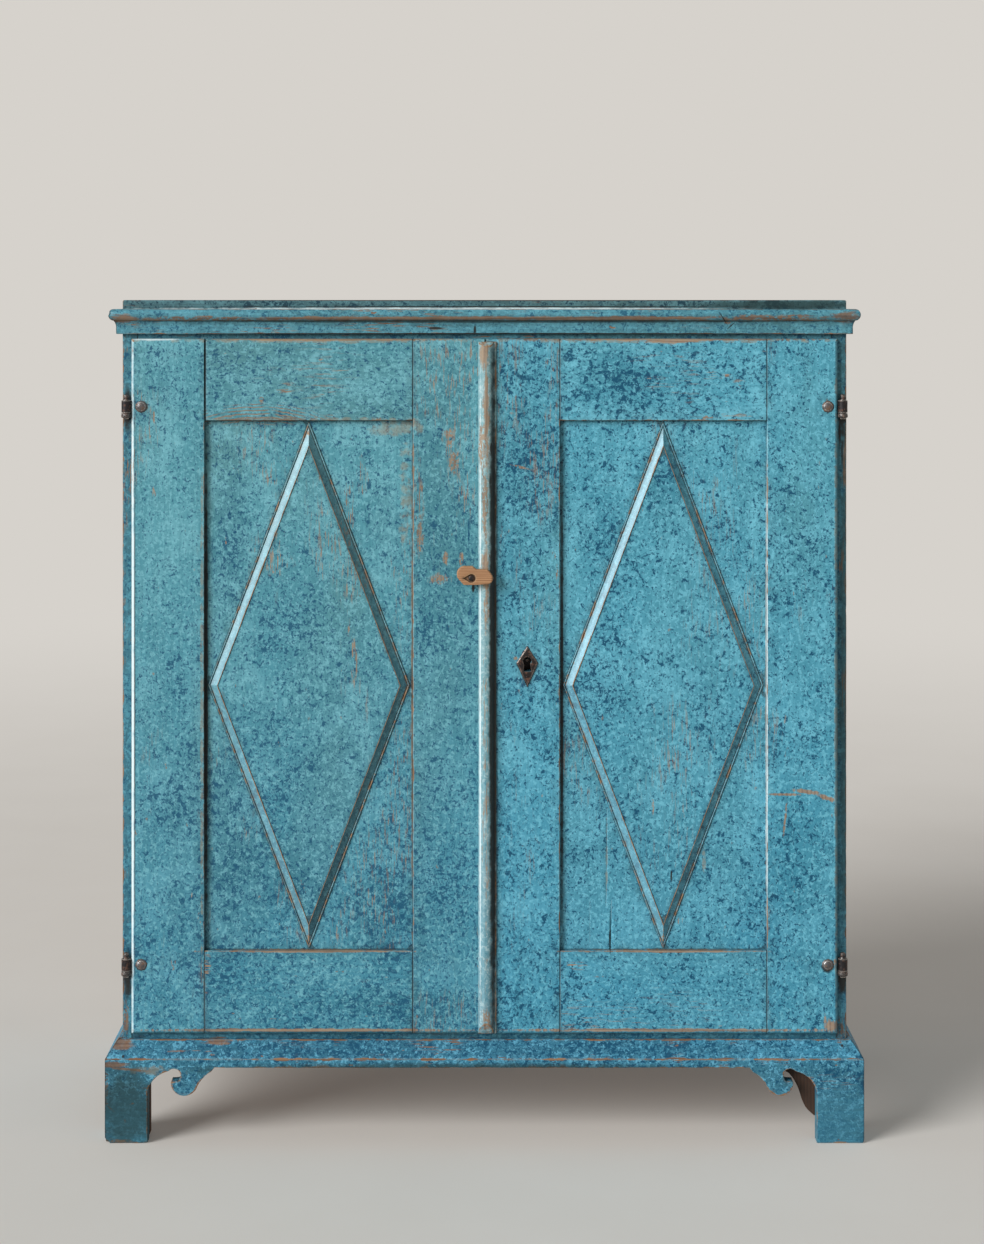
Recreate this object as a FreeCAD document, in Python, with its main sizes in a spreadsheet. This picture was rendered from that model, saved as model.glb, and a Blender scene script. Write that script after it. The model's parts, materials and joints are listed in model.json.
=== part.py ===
import FreeCAD, Part
import math
import os
from collections import namedtuple

import Sketcher

# Painted pine cupboard with two framed doors, a planted cornice and a base with scrolled bracket feet.
# X runs to the right, Y to the back and Z up. Heights are measured from the floor, widths from the middle
# of the case and depths from the front edges of the side boards; frame_shift then centres the whole.

SIZES = {
    # Case
    "case_width": 1053.0,
    "case_depth": 455.0,
    "overall_height": 1219.0,
    "side_thickness": 22.0,
    "top_thickness": 20.0,
    "top_rail_height": 51.0,
    "rail_thickness": 20.0,
    "floor_top": 166.0,
    "floor_thickness": 22.0,
    "housing_depth": 8.0,
    "case_reveal": 3.0,
    "arris_radius": 2.5,
    # Back
    "back_thickness": 14.0,
    "back_rebate_width": 11.0,
    "plank_lap": 10.0,
    "plank_gap": 0.6,
    # Shelves
    "lower_shelf_top": 500.0,
    "upper_shelf_top": 830.0,
    "shelf_thickness": 20.0,
    "shelf_setback": 48.0,
    "shelf_nosing_radius": 4.0,
    "shelf_play": 0.3,
    "cleat_height": 26.0,
    "cleat_thickness": 20.0,
    "cleat_setback": 18.0,
    "cleat_bevel": 8.0,
    # Cornice
    "cornice_drop": 13.0,
    "torus_height": 17.0,
    "torus_root": 13.0,
    "torus_projection": 18.3,
    "cove_height": 12.0,
    "cove_quirk": 1.6,
    "fillet_height": 7.5,
    "fillet_projection": 8.3,
    # Base
    "base_top": 146.0,
    "base_thickness": 22.5,
    "base_bevel_height": 24.4,
    "base_bevel_reach": 16.5,
    "apron_height": 108.8,
    "scroll_reach": 96.7,
    "scroll_depth": 40.5,
    "left_foot_width": 62.0,
    "right_foot_width": 69.0,
    "side_foot_width": 62.0,
    "side_bracket_reach": 58.0,
    "side_bracket_rise": 40.0,
    "foot_block_size": 40.0,
    "foot_block_rise": 5.0,
    # Doors
    "lip_proud": 10.8,
    "lip_gap": 0.4,
    "lip_round": 5.0,
    "door_thickness": 22.5,
    "side_overlap": 8.0,
    "top_overlap": 14.9,
    "bottom_overlap": 11.8,
    "door_play": 1.2,
    "door_gap": 2.0,
    "meeting_offset": 1.5,
    "left_hinge_stile_width": 106.5,
    "left_meeting_stile_width": 104.5,
    "right_meeting_stile_width": 107.0,
    "right_hinge_stile_width": 103.0,
    "door_top_rail_width": 118.9,
    "door_bottom_rail_width": 121.3,
    "tenon_length": 58.0,
    "tenon_shoulder": 25.0,
    "mortise_play": 1.0,
    # Panels and lozenges
    "panel_recess": 8.0,
    "panel_thickness": 12.0,
    "panel_play": 1.0,
    "panel_field_margin": 36.0,
    "groove_width": 6.0,
    "groove_depth": 10.0,
    "groove_play": 0.2,
    "lozenge_side_margin": 4.8,
    "lozenge_end_margin": 1.4,
    "lozenge_edge": 1.7,
    "lozenge_fillet": 2.0,
    "lozenge_quirk": 0.9,
    "lozenge_quirk_depth": 0.8,
    "lozenge_hollow": 9.4,
    "lozenge_rise": 5.0,
    "lozenge_crest": 0.8,
    "lozenge_step": 0.9,
    # Hinges
    "hinge_outset": 7.3,
    "hinge_proud": 8.5,
    "pin_radius": 3.75,
    "pin_clearance": 0.05,
    "pin_tip": 5.0,
    "eye_radius": 7.0,
    "eye_height": 18.0,
    "eye_rest_gap": 0.3,
    "upper_hinge_inset": 98.4,
    "lower_hinge_inset": 100.8,
    "leaf_thickness": 3.0,
    "leaf_length": 34.0,
    "leaf_play": 0.15,
    "pintle_bar_width": 8.0,
    "pintle_bar_height": 9.0,
    "spike_length": 42.0,
    "spike_tip_size": 2.0,
    "rivet_reach": 22.0,
    "rivet_radius": 2.5,
    "rivet_head_radius": 6.8,
    "rivet_head_height": 3.0,
    "rivet_clench_radius": 4.2,
    "rivet_clench_height": 1.2,
    # Meeting strip
    "strip_left_reach": 10.9,
    "strip_bead_width": 23.2,
    "strip_fillet_width": 3.6,
    "strip_fillet_thickness": 3.0,
    "strip_height": 12.0,
    "strip_lap_gap": 0.3,
    "strip_top_drop": 4.1,
    "strip_bottom_rise": 1.8,
    "strip_top_bevel": 7.0,
    "strip_bottom_bevel": 16.0,
    # Turn button
    "button_inset": 20.4,
    "button_drop": 345.0,
    "button_tail": 21.8,
    "button_head": 31.9,
    "button_upper": 17.5,
    "button_lower": 10.0,
    "button_head_upper": 13.0,
    "button_shoulder": 8.0,
    "button_thickness": 11.0,
    "button_gap": 0.5,
    "button_arris": 2.0,
    "spacer_radius": 7.8,
    "screw_radius": 2.5,
    "screw_head_radius": 4.8,
    "screw_head_height": 2.2,
    "screw_depth": 16.0,
    "screw_well_radius": 6.0,
    "screw_well_point": 11.5,
    "screw_well_depth": 3.2,
    # Keyhole, plate and lock
    "keyhole_inset": 59.5,
    "keyhole_rise": 541.1,
    "keyhole_radius": 6.1,
    "keyhole_neck": 4.2,
    "keyhole_flare": 5.4,
    "keyhole_length": 14.8,
    "plate_half_width": 16.0,
    "plate_upper": 22.5,
    "plate_lower": 38.0,
    "plate_widest_drop": 2.5,
    "plate_thickness": 2.0,
    "plate_bevel": 1.0,
    "lock_edge": 4.0,
    "lock_width": 78.0,
    "lock_height": 84.0,
    "lock_drop": 40.0,
    "lock_depth": 14.0,
    "lock_wall": 2.0,
    "drill_pin_radius": 2.0,
    "lock_bolt_rise": 14.0,
    "lock_bolt_height": 16.0,
    "lock_bolt_thickness": 5.0,
    "lock_bolt_length": 72.0,
    "lock_bolt_standoff": 1.5,
    "lock_bolt_travel": 13.0,
    "lock_bolt_play": 0.3,
    "talon_width": 9.0,
    "talon_depth": 5.0,
    # Inside bolt of the left door
    "door_bolt_inset": 45.0,
    "door_bolt_pad_width": 40.0,
    "door_bolt_pad_height": 92.0,
    "door_bolt_pad_thickness": 9.3,
    "door_bolt_pad_drop": 30.0,
    "door_bolt_width": 14.0,
    "door_bolt_thickness": 5.0,
    "door_bolt_length": 104.0,
    "door_bolt_rest_gap": 4.0,
    "door_bolt_play": 0.4,
    "knob_radius": 5.0,
    "knob_length": 9.0,
    "staple_iron": 2.5,
    "staple_height": 9.0,
    "staple_margin": 9.0,
    # Cutting
    "overrun": 5.0,
}

# The scroll on each side of the front apron, from the foot's inner edge to the straight underside.
# Each pair is a share of scroll_reach along and of scroll_depth down from the underside.
SCROLL_SHARES = {
    "foot": (0.0, 0.82),
    "arch_via": (0.10, 0.40),
    "arch_top": (0.317, 0.12),
    "hook_via": (0.492, 0.26),
    "hook_back": (0.452, 0.468),
    "hook_tip": (0.345, 0.482),
    "lobe_via": (0.405, 0.88),
    "lobe_low": (0.566, 1.0),
    "rise_via": (0.675, 0.895),
    "rise_end": (0.745, 0.66),
    "ogee_via": (0.83, 0.37),
    "ogee_end": (0.95, 0.155),
}

# The turn button's outline. Each pair is a share of the reach along and of the rise up at that place.
BUTTON_SHARES = {
    "tail_low": (0.5, 1.0),
    "tail_end": (0.9, 0.0),
    "tail_via": (0.97, 0.42),
    "tail_top": (0.3, 1.0),
    "neck": (0.24, 1.0),
    "shoulder_via": (0.62, 0.4),
    "head_top": (0.71, 1.0),
    "nose_via": (0.9, 0.5),
    "chin_via": (0.95, 0.45),
    "chin": (0.8, 0.85),
    "throat": (0.18, 1.0),
}

# The hollow round a lozenge, from its foot to its crest, as shares of its width and of its rise
HOLLOW_SHARES = ((0.36, 0.24), (0.7, 0.58), (1.0, 1.0))

# Places on curves and corners, as shares along and up
COVE_VIA_SHARES = (0.25, 0.62)
BRACKET_VIA_SHARES = (0.26, 0.62)
WELL_BACK_SHARES = (0.5, 0.86)
BLOCK_CORNER_SHARE = 0.45
PIN_ROUND_SHARE = 0.4
CLENCH_END_SHARE = 0.7
NECK_RISE_SHARE = 0.72
PLATE_SLANT_SHARE = 1.6
DOME_STEPS = 4
FULL_TURN = 360
PLANKS = ("left", "middle", "right")

DOC = FreeCAD.newDocument("storage_cabinet")
PIECES = []

Bend = namedtuple("Bend", "via end")
Door = namedtuple("Door", "name side hinge_width meeting_width meeting_edge hinge_inner meeting_inner")


class Size:
    """A length with its value and the sheet expression that gives it."""

    def __init__(self, value, text):
        self.value = float(value)
        self.text = text

    def join(self, other, sign, value):
        return Size(value, "(%s %s %s)" % (self.text, sign, as_size(other).text))

    def __add__(self, other):
        return self.join(other, "+", self.value + as_size(other).value)

    def __sub__(self, other):
        return self.join(other, "-", self.value - as_size(other).value)

    def __mul__(self, other):
        return self.join(other, "*", self.value * as_size(other).value)

    def __truediv__(self, other):
        return self.join(other, "/", self.value / as_size(other).value)

    def __neg__(self):
        return Size(-self.value, "(0 - %s)" % self.text)


def as_size(number):
    """Turn a plain number into a size, and leave a size as it is."""
    return number if isinstance(number, Size) else Size(number, repr(float(number)))


ZERO = Size(0.0, "0")
SAME_PLACE = 1e-6


def slope_length(run, rise):
    """Length of the hypotenuse over a run and a rise."""
    text = "sqrt(%s * %s + %s * %s)" % (run.text, run.text, rise.text, rise.text)
    return Size(math.hypot(run.value, rise.value), text)


class Dimensions:
    """The driving dimensions, written to a sheet and read back as sizes."""

    def __init__(self, table):
        self.sheet = DOC.addObject("Spreadsheet::Sheet", "Sizes")
        for row, (alias, value) in enumerate(table.items(), start=1):
            self.sheet.set("A%d" % row, alias)
            self.sheet.set("B%d" % row, str(value))
            self.sheet.setAlias("B%d" % row, alias)
            setattr(self, alias, Size(value, "Sizes." + alias))


D = Dimensions(SIZES)
DOC.recompute()

# Places that several pieces share
half_case = D.case_width / 2
half_opening = half_case - D.side_thickness
rail_top = D.overall_height - D.top_thickness
opening_top = rail_top - D.top_rail_height
case_bottom = D.apron_height + D.case_reveal
back_face = D.case_depth - D.back_thickness
face = -D.lip_proud
lip_back = -D.lip_gap
door_back = D.door_thickness - D.lip_proud
lip_edge = half_opening + D.side_overlap
lip_top = opening_top + D.top_overlap
lip_bottom = D.floor_top - D.bottom_overlap
panel_top = lip_top - D.door_top_rail_width
panel_bottom = lip_bottom + D.door_bottom_rail_width
panel_face = face + D.panel_recess
groove_back = panel_face + D.groove_width
left_meeting_edge = D.meeting_offset - D.door_gap / 2
right_meeting_edge = D.meeting_offset + D.door_gap / 2
hinge_x = lip_edge + D.hinge_outset
hinge_y = -D.hinge_proud
upper_eye_bottom = lip_top - D.upper_hinge_inset - D.eye_height / 2
lower_eye_bottom = lip_bottom + D.lower_hinge_inset - D.eye_height / 2
leaf_back = hinge_y + D.eye_radius
leaf_front = leaf_back - D.leaf_thickness
strip_crown = face - D.strip_height
button_back = strip_crown - D.button_gap
button_front = button_back - D.button_thickness
button_x = D.meeting_offset - D.button_inset
button_z = lip_top - D.button_drop
keyhole_x = right_meeting_edge + D.keyhole_inset
keyhole_z = lip_bottom + D.keyhole_rise
lock_left = right_meeting_edge + D.lock_edge
lock_bottom = keyhole_z - D.lock_drop
lock_back = door_back + D.lock_depth
lock_bolt_bottom = keyhole_z + D.lock_bolt_rise
lock_bolt_front = door_back + D.lock_bolt_standoff
bolt_x = left_meeting_edge - D.door_bolt_inset
pad_back = door_back + D.door_bolt_pad_thickness
bolt_front = pad_back + D.door_bolt_play
bolt_top = opening_top - D.door_bolt_rest_gap
frame_shift = (-button_front - D.case_depth) / 2


def number(size):
    """The plain value of a size or a number."""
    return as_size(size).value


def bind(item, name, size):
    """Set one property from the sheet."""
    item.setExpression(name, as_size(size).text)


def new_body(label, x=ZERO, y=ZERO, z=ZERO):
    """Start a sub-part whose own origin lies at x, y, z of the cabinet."""
    body = DOC.addObject("PartDesign::Body", label)
    body.Label = label
    bind(body, "Placement.Base.x", x)
    bind(body, "Placement.Base.y", y + frame_shift)
    bind(body, "Placement.Base.z", z)
    PIECES.append(body)
    return body


def origin_plane(body, role):
    """The body's own origin plane of that role."""
    return next(item for item in body.Origin.OriginFeatures if item.Role == role)


ROLES = {"x": "YZ_Plane", "y": "XZ_Plane", "z": "XY_Plane"}


def sketch_on(body, axis, place):
    """Start a sketch square to an axis, at a place along it."""
    sketch = body.newObject("Sketcher::SketchObject", "%s_sketch" % body.Name)
    sketch.AttachmentSupport = [(origin_plane(body, ROLES[axis]), "")]
    sketch.MapMode = "FlatFace"
    bind(sketch, "AttachmentOffset.Base.z", -place if axis == "y" else as_size(place))
    return sketch


def point(place):
    """A sketch point from a pair of sizes."""
    return FreeCAD.Vector(number(place[0]), number(place[1]), 0)


def pin_point(sketch, geometry, position, place):
    """Constraints and expressions that hold one sketch point at a pair of sizes."""
    for kind, size in (("DistanceX", place[0]), ("DistanceY", place[1])):
        index = sketch.addConstraint(Sketcher.Constraint(kind, -1, 1, geometry, position, number(size)))
        sketch.setExpression("Constraints[%d]" % index, as_size(size).text)


def outline(sketch, start, *steps):
    """Draw a closed outline from a start point through corners and bends, each held by the sheet."""
    here = start
    ends = []
    final = steps[-1].end if isinstance(steps[-1], Bend) else steps[-1]
    closing = (start,) if (point(final) - point(start)).Length > SAME_PLACE else ()
    for step in steps + closing:
        bend = step if isinstance(step, Bend) else None
        there = bend.end if bend else step
        first, last = point(here), point(there)
        if bend:
            middle = point(bend.via)
            anticlockwise = (middle - first).cross(last - middle).z > 0
            if anticlockwise:
                arc = sketch.addGeometry(Part.Arc(first, middle, last), False)
                ends.append((arc, 1, 2))
            else:
                arc = sketch.addGeometry(Part.Arc(last, middle, first), False)
                ends.append((arc, 2, 1))
            mark = sketch.addGeometry(Part.Point(middle), True)
            sketch.addConstraint(Sketcher.Constraint("PointOnObject", mark, 1, arc))
            pin_point(sketch, mark, 1, bend.via)
        else:
            line = sketch.addGeometry(Part.LineSegment(first, last), False)
            ends.append((line, 1, 2))
        pin_point(sketch, ends[-1][0], ends[-1][1], here)
        here = there
    for index, (geometry, _, tail) in enumerate(ends):
        following, head, _ = ends[(index + 1) % len(ends)]
        sketch.addConstraint(Sketcher.Constraint("Coincident", geometry, tail, following, head))
    return sketch


def rectangle(sketch, low, high):
    """Draw a rectangle between two opposite corners."""
    return outline(sketch, low, (high[0], low[1]), high, (low[0], high[1]))


def circle(sketch, centre, radius):
    """Draw a circle held by the sheet."""
    ring = sketch.addGeometry(Part.Circle(point(centre), FreeCAD.Vector(0, 0, 1), number(radius)), False)
    pin_point(sketch, ring, 3, centre)
    index = sketch.addConstraint(Sketcher.Constraint("Radius", ring, number(radius)))
    sketch.setExpression("Constraints[%d]" % index, as_size(radius).text)
    return sketch


def grow(body, sketch, axis, length, way=1):
    """Pad a sketch along an axis, forwards or backwards."""
    pad = body.newObject("PartDesign::Pad", "%s_pad" % body.Name)
    pad.Profile = sketch
    bind(pad, "Length", length)
    pad.Reversed = (way > 0) if axis == "y" else (way < 0)
    sketch.Visibility = False
    DOC.recompute()
    return pad


def cut(body, sketch, axis, length=None, way=1):
    """Pocket a sketch along an axis, or right through both ways, and see that it took wood away."""
    before = body.Shape.Volume
    pocket = body.newObject("PartDesign::Pocket", "%s_cut" % body.Name)
    pocket.Profile = sketch
    if length is None:
        pocket.Type = "ThroughAll"
        pocket.Midplane = True
    else:
        bind(pocket, "Length", length)
        pocket.Reversed = (way < 0) if axis == "y" else (way > 0)
    sketch.Visibility = False
    DOC.recompute()
    if not body.Shape.Volume < before:
        raise RuntimeError("A cut took nothing from %s" % body.Label)
    return pocket


def board(label, low, high):
    """A plain board between two opposite corners."""
    body = new_body(label)
    sketch = rectangle(sketch_on(body, "z", low[2]), (low[0], low[1]), (high[0], high[1]))
    grow(body, sketch, "z", high[2] - low[2])
    return body


def round_edges(body, radius, wanted):
    """Round the edges that a test on their ends accepts."""
    names = []
    for index, edge in enumerate(body.Shape.Edges, start=1):
        if wanted([vertex.Point for vertex in edge.Vertexes]):
            names.append("Edge%d" % index)
    base = body.Tip
    fillet = body.newObject("PartDesign::Fillet", "%s_round" % body.Name)
    fillet.Base = (base, names)
    bind(fillet, "Radius", radius)
    DOC.recompute()
    return fillet


def ordered(first, second):
    """Two sizes, the lower one first."""
    return (first, second) if number(first) < number(second) else (second, first)


# Case boards
def make_side_board(name, side):
    """A side board with a housing for the bottom, a rear rebate and holes for the hinge spikes."""
    outer = half_case * side
    inner = half_opening * side
    low, high = ordered(outer, inner)
    body = board(name, (low, ZERO, case_bottom), (high, D.case_depth, rail_top))
    housing = sketch_on(body, "x", inner)
    floor_bottom = D.floor_top - D.floor_thickness
    rectangle(housing, (-D.overrun, floor_bottom), (D.case_depth + D.overrun, D.floor_top))
    cut(body, housing, "x", D.housing_depth, side)
    rebate = sketch_on(body, "z", case_bottom)
    low, high = ordered(inner - D.overrun * side, inner + D.back_rebate_width * side)
    rectangle(rebate, (low, back_face), (high, D.case_depth + D.overrun))
    cut(body, rebate, "z")
    holes = sketch_on(body, "y", ZERO)
    half = D.pintle_bar_width / 2 + D.leaf_play
    for eye_bottom in (upper_eye_bottom, lower_eye_bottom):
        middle = eye_bottom - D.eye_rest_gap - D.pintle_bar_height / 2
        reach = D.pintle_bar_height / 2 + D.leaf_play
        rectangle(holes, (hinge_x * side - half, middle - reach), (hinge_x * side + half, middle + reach))
    cut(body, holes, "y", D.spike_length + D.mortise_play, 1)
    return body


def make_top_board():
    """The top, laid over the sides, with its front and end edges rounded by wear."""
    body = board("top_board", (-half_case, ZERO, rail_top), (half_case, D.case_depth, D.overall_height))
    height = D.overall_height.value

    def worn(ends):
        on_top = all(abs(end.z - height) < SAME_PLACE for end in ends)
        behind = all(end.y > D.case_depth.value + frame_shift.value - SAME_PLACE for end in ends)
        return on_top and not behind

    round_edges(body, D.arris_radius, worn)


def make_bottom_board():
    """The bottom, housed in the sides, whose front edge the doors close against."""
    width = half_opening + D.housing_depth
    board("bottom_board", (-width, ZERO, D.floor_top - D.floor_thickness), (width, back_face, D.floor_top))


def make_rails():
    """The rail over the doors and the rail that carries the base."""
    board("top_front_rail", (-half_opening, ZERO, opening_top), (half_opening, D.rail_thickness, rail_top))
    top = D.floor_top - D.floor_thickness
    board("bottom_front_rail", (-half_opening, ZERO, case_bottom), (half_opening, D.rail_thickness, top))


def make_back():
    """Three upright planks with lapped edges, let into the rebates."""
    width = (half_opening + D.back_rebate_width) * 2
    plank = width / len(PLANKS)
    middle = back_face + D.back_thickness / 2
    for place, name in enumerate(PLANKS):
        low = plank * place - width / 2
        high = low + plank
        body = new_body("back_plank_%s" % name)
        corners = [(low, back_face)]
        if name == "right":
            corners += [(high, back_face), (high, D.case_depth)]
        else:
            step = high + D.plank_lap - D.plank_gap
            corners += [(step, back_face), (step, middle), (high - D.plank_gap, middle),
                        (high - D.plank_gap, D.case_depth)]
        if name == "left":
            corners += [(low, D.case_depth)]
        else:
            corners[0] = (low + D.plank_lap, back_face)
            corners += [(low, D.case_depth), (low, middle), (low + D.plank_lap, middle)]
        sketch = outline(sketch_on(body, "z", case_bottom), corners[0], *corners[1:])
        grow(body, sketch, "z", rail_top - case_bottom)


def make_shelf(name, top):
    """A shelf on its two cleats."""
    half = half_opening - D.shelf_play
    low = (-half, D.shelf_setback, top - D.shelf_thickness)
    shelf = board("%s_shelf" % name, low, (half, back_face, top))
    front = D.shelf_setback.value + frame_shift.value

    def nosing(ends):
        in_front = all(abs(end.y - front) < SAME_PLACE for end in ends)
        return in_front and abs(ends[0].x - ends[1].x) > half.value

    round_edges(shelf, D.shelf_nosing_radius, nosing)
    under = top - D.shelf_thickness
    for side, end in ((-1, "left"), (1, "right")):
        wall = half_opening * side
        inner = wall - D.cleat_thickness * side
        body = new_body("%s_%s_cleat" % (name, end))
        sketch = sketch_on(body, "y", D.shelf_setback + D.cleat_setback)
        outline(sketch, (wall, under), (inner, under), (inner, under - D.cleat_height + D.cleat_bevel),
                (inner + D.cleat_bevel * side, under - D.cleat_height), (wall, under - D.cleat_height))
        grow(body, sketch, "y", back_face - D.shelf_setback - D.cleat_setback, 1)


# Cornice
def cornice_outline(sketch, wall, out):
    """The cornice section: a fillet, a cove and a torus, drawn outwards from a wall."""
    top = D.overall_height - D.cornice_drop
    torus_low = top - D.torus_height
    cove_low = torus_low - D.cove_height
    bottom = cove_low - D.fillet_height
    fillet = wall + D.fillet_projection * out
    root = wall + D.torus_root * out
    quirk = root - D.cove_quirk * out
    along, up = COVE_VIA_SHARES
    outline(
        sketch,
        (wall, top),
        (wall, bottom),
        (fillet, bottom),
        (fillet, cove_low),
        Bend((fillet + (quirk - fillet) * along, cove_low + D.cove_height * up), (quirk, torus_low)),
        (root, torus_low),
        Bend((wall + D.torus_projection * out, torus_low + D.torus_height / 2), (root, top)),
    )


def mitre(body, side, out_by, keep_front):
    """Cut one end of a moulding to the mitre line at a front corner of the case."""
    outer = (half_case + out_by + D.overrun) * side
    inner = (half_case - D.overrun) * side
    front = -out_by - D.overrun
    waste = (outer, D.overrun) if keep_front else (inner, front)
    sketch = sketch_on(body, "z", case_bottom)
    outline(sketch, (outer, front), waste, (inner, D.overrun))
    cut(body, sketch, "z")


def make_cornice():
    """The front moulding and its two returns, mitred at the corners."""
    reach = half_case + D.torus_projection
    front = new_body("cornice_front")
    sketch = sketch_on(front, "x", -reach)
    cornice_outline(sketch, ZERO, -1)
    grow(front, sketch, "x", reach * 2, 1)
    for side in (-1, 1):
        mitre(front, side, D.torus_projection, True)
    for side, name in ((-1, "left"), (1, "right")):
        body = new_body("cornice_%s_return" % name)
        sketch = sketch_on(body, "y", -D.torus_projection)
        cornice_outline(sketch, half_case * side, side)
        grow(body, sketch, "y", D.case_depth + D.torus_projection, 1)
        mitre(body, side, D.torus_projection, False)


# Base
def scroll_steps(edge, way):
    """The scroll beside a front foot, from the foot's inner edge to the apron's underside."""
    place = {}
    for name, (along, down) in SCROLL_SHARES.items():
        place[name] = (edge + D.scroll_reach * along * way, D.apron_height - D.scroll_depth * down)
    end = (edge + D.scroll_reach * way, D.apron_height)
    return [
        place["foot"],
        Bend(place["arch_via"], place["arch_top"]),
        Bend(place["hook_via"], place["hook_back"]),
        place["hook_tip"],
        Bend(place["lobe_via"], place["lobe_low"]),
        Bend(place["rise_via"], place["rise_end"]),
        Bend(place["ogee_via"], place["ogee_end"]),
        end,
    ]


def backwards(start, steps):
    """The same run of corners and bends, drawn from its end to its start."""
    stops = [start] + [step.end if isinstance(step, Bend) else step for step in steps]
    turned = []
    for index in range(len(steps) - 1, -1, -1):
        step = steps[index]
        target = stops[index]
        turned.append(Bend(step.via, target) if isinstance(step, Bend) else target)
    return stops[-1], turned


def make_base():
    """The base front with its scrolled feet, and the returns with plain bracket feet."""
    reach = half_case + D.base_thickness
    left_edge = D.left_foot_width - reach
    right_edge = reach - D.right_foot_width
    left = scroll_steps(left_edge, 1)
    right_start, right = backwards((right_edge, ZERO), scroll_steps(right_edge, -1))
    front = new_body("base_front")
    sketch = sketch_on(front, "y", -D.base_thickness)
    outline(sketch, (-reach, D.base_top), (-reach, ZERO), (left_edge, ZERO), *left, right_start, *right,
            (reach, ZERO), (reach, D.base_top))
    grow(front, sketch, "y", D.base_thickness, 1)
    bevel = sketch_on(front, "x", ZERO)
    shoulder = D.base_bevel_reach - D.base_thickness
    foot = D.base_top - D.base_bevel_height
    past = -D.base_thickness - D.overrun
    outline(bevel, (-D.base_thickness, foot), (shoulder, D.base_top), (shoulder, D.base_top + D.overrun),
            (past, D.base_top + D.overrun), (past, foot))
    cut(front, bevel, "x")
    for side in (-1, 1):
        mitre(front, side, D.base_thickness, True)
    for side, name in ((-1, "left"), (1, "right")):
        make_base_return("base_%s_return" % name, side)


def make_base_return(name, side):
    """A side of the base: a bracket foot at the front and one at the back."""
    outer = (half_case + D.base_thickness) * side
    low, _ = ordered(outer, half_case * side)
    front_foot = D.side_foot_width - D.base_thickness
    rear_foot = D.case_depth - D.side_foot_width
    body = new_body(name)
    sketch = sketch_on(body, "x", low)
    along, up = BRACKET_VIA_SHARES
    via_rise = D.side_bracket_rise + (D.apron_height - D.side_bracket_rise) * up
    via_run = D.side_bracket_reach * along
    outline(
        sketch,
        (-D.base_thickness, D.base_top),
        (-D.base_thickness, ZERO),
        (front_foot, ZERO),
        (front_foot, D.side_bracket_rise),
        Bend((front_foot + via_run, via_rise), (front_foot + D.side_bracket_reach, D.apron_height)),
        (rear_foot - D.side_bracket_reach, D.apron_height),
        Bend((rear_foot - via_run, via_rise), (rear_foot, D.side_bracket_rise)),
        (rear_foot, ZERO),
        (D.case_depth, ZERO),
        (D.case_depth, D.base_top),
    )
    grow(body, sketch, "x", D.base_thickness, 1)
    bevel = sketch_on(body, "y", ZERO)
    shoulder = outer - D.base_bevel_reach * side
    foot = D.base_top - D.base_bevel_height
    past = outer + D.overrun * side
    outline(bevel, (outer, foot), (shoulder, D.base_top), (shoulder, D.base_top + D.overrun),
            (past, D.base_top + D.overrun), (past, foot))
    cut(body, bevel, "y")
    mitre(body, side, D.base_thickness, False)


def make_foot_blocks():
    """A glued block inside each foot, a little short of the floor."""
    for end, start, way in (("front", ZERO, 1), ("rear", D.case_depth, -1)):
        for side, name in ((-1, "left"), (1, "right")):
            body = new_body("%s_%s_foot_block" % (end, name))
            corner = half_case * side
            inner = corner - D.foot_block_size * side
            end_wood = D.foot_block_size * BLOCK_CORNER_SHARE
            sketch = sketch_on(body, "z", D.foot_block_rise)
            outline(sketch, (corner, start), (inner, start), (inner, start + end_wood * way),
                    (corner - end_wood * side, start + D.foot_block_size * way),
                    (corner, start + D.foot_block_size * way))
            grow(body, sketch, "z", case_bottom - D.foot_block_rise)


# Doors
def door_of(name, side, hinge_width, meeting_width, meeting_edge):
    """Gather the sizes of one door."""
    hinge_inner = (lip_edge - hinge_width) * side
    meeting_inner = meeting_edge + meeting_width * side
    return Door(name, side, hinge_width, meeting_width, meeting_edge, hinge_inner, meeting_inner)


def round_lip(body, outer=None):
    """Round the front edges along the outside of a door, at the height of its ends and at outer."""
    front = face.value + frame_shift.value
    ends_up = (lip_top.value, lip_bottom.value)

    def outside(ends):
        if any(abs(end.y - front) > SAME_PLACE for end in ends):
            return False
        if outer is not None and all(abs(end.x - outer.value) < SAME_PLACE for end in ends):
            return True
        return any(all(abs(end.z - height) < SAME_PLACE for end in ends) for height in ends_up)

    round_edges(body, D.lip_round, outside)


def cut_end_rebates(body):
    """Cut the rebates along the top and bottom of a door member, so that its lip laps the case."""
    sketch = sketch_on(body, "x", ZERO)
    past = door_back + D.overrun
    rectangle(sketch, (lip_back, opening_top - D.door_play), (past, lip_top + D.overrun))
    rectangle(sketch, (lip_back, lip_bottom - D.overrun), (past, D.floor_top + D.door_play))
    cut(body, sketch, "x")


def cut_joints(body, inner, way):
    """Cut the panel groove and the two mortises in the inner edge of a stile."""
    groove = sketch_on(body, "x", inner)
    rectangle(groove, (panel_face, panel_bottom - D.groove_depth), (groove_back, panel_top + D.groove_depth))
    cut(body, groove, "x", D.groove_depth, way)
    mortises = sketch_on(body, "x", inner)
    for low, high in tenon_spans():
        rectangle(mortises, (panel_face, low), (groove_back, high))
    cut(body, mortises, "x", D.tenon_length + D.mortise_play, way)


def tenon_spans():
    """The heights between which the lower and the upper tenon lie."""
    lower = (lip_bottom + D.tenon_shoulder, panel_bottom - D.groove_depth)
    upper = (panel_top + D.groove_depth, lip_top - D.tenon_shoulder)
    return lower, upper


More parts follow.
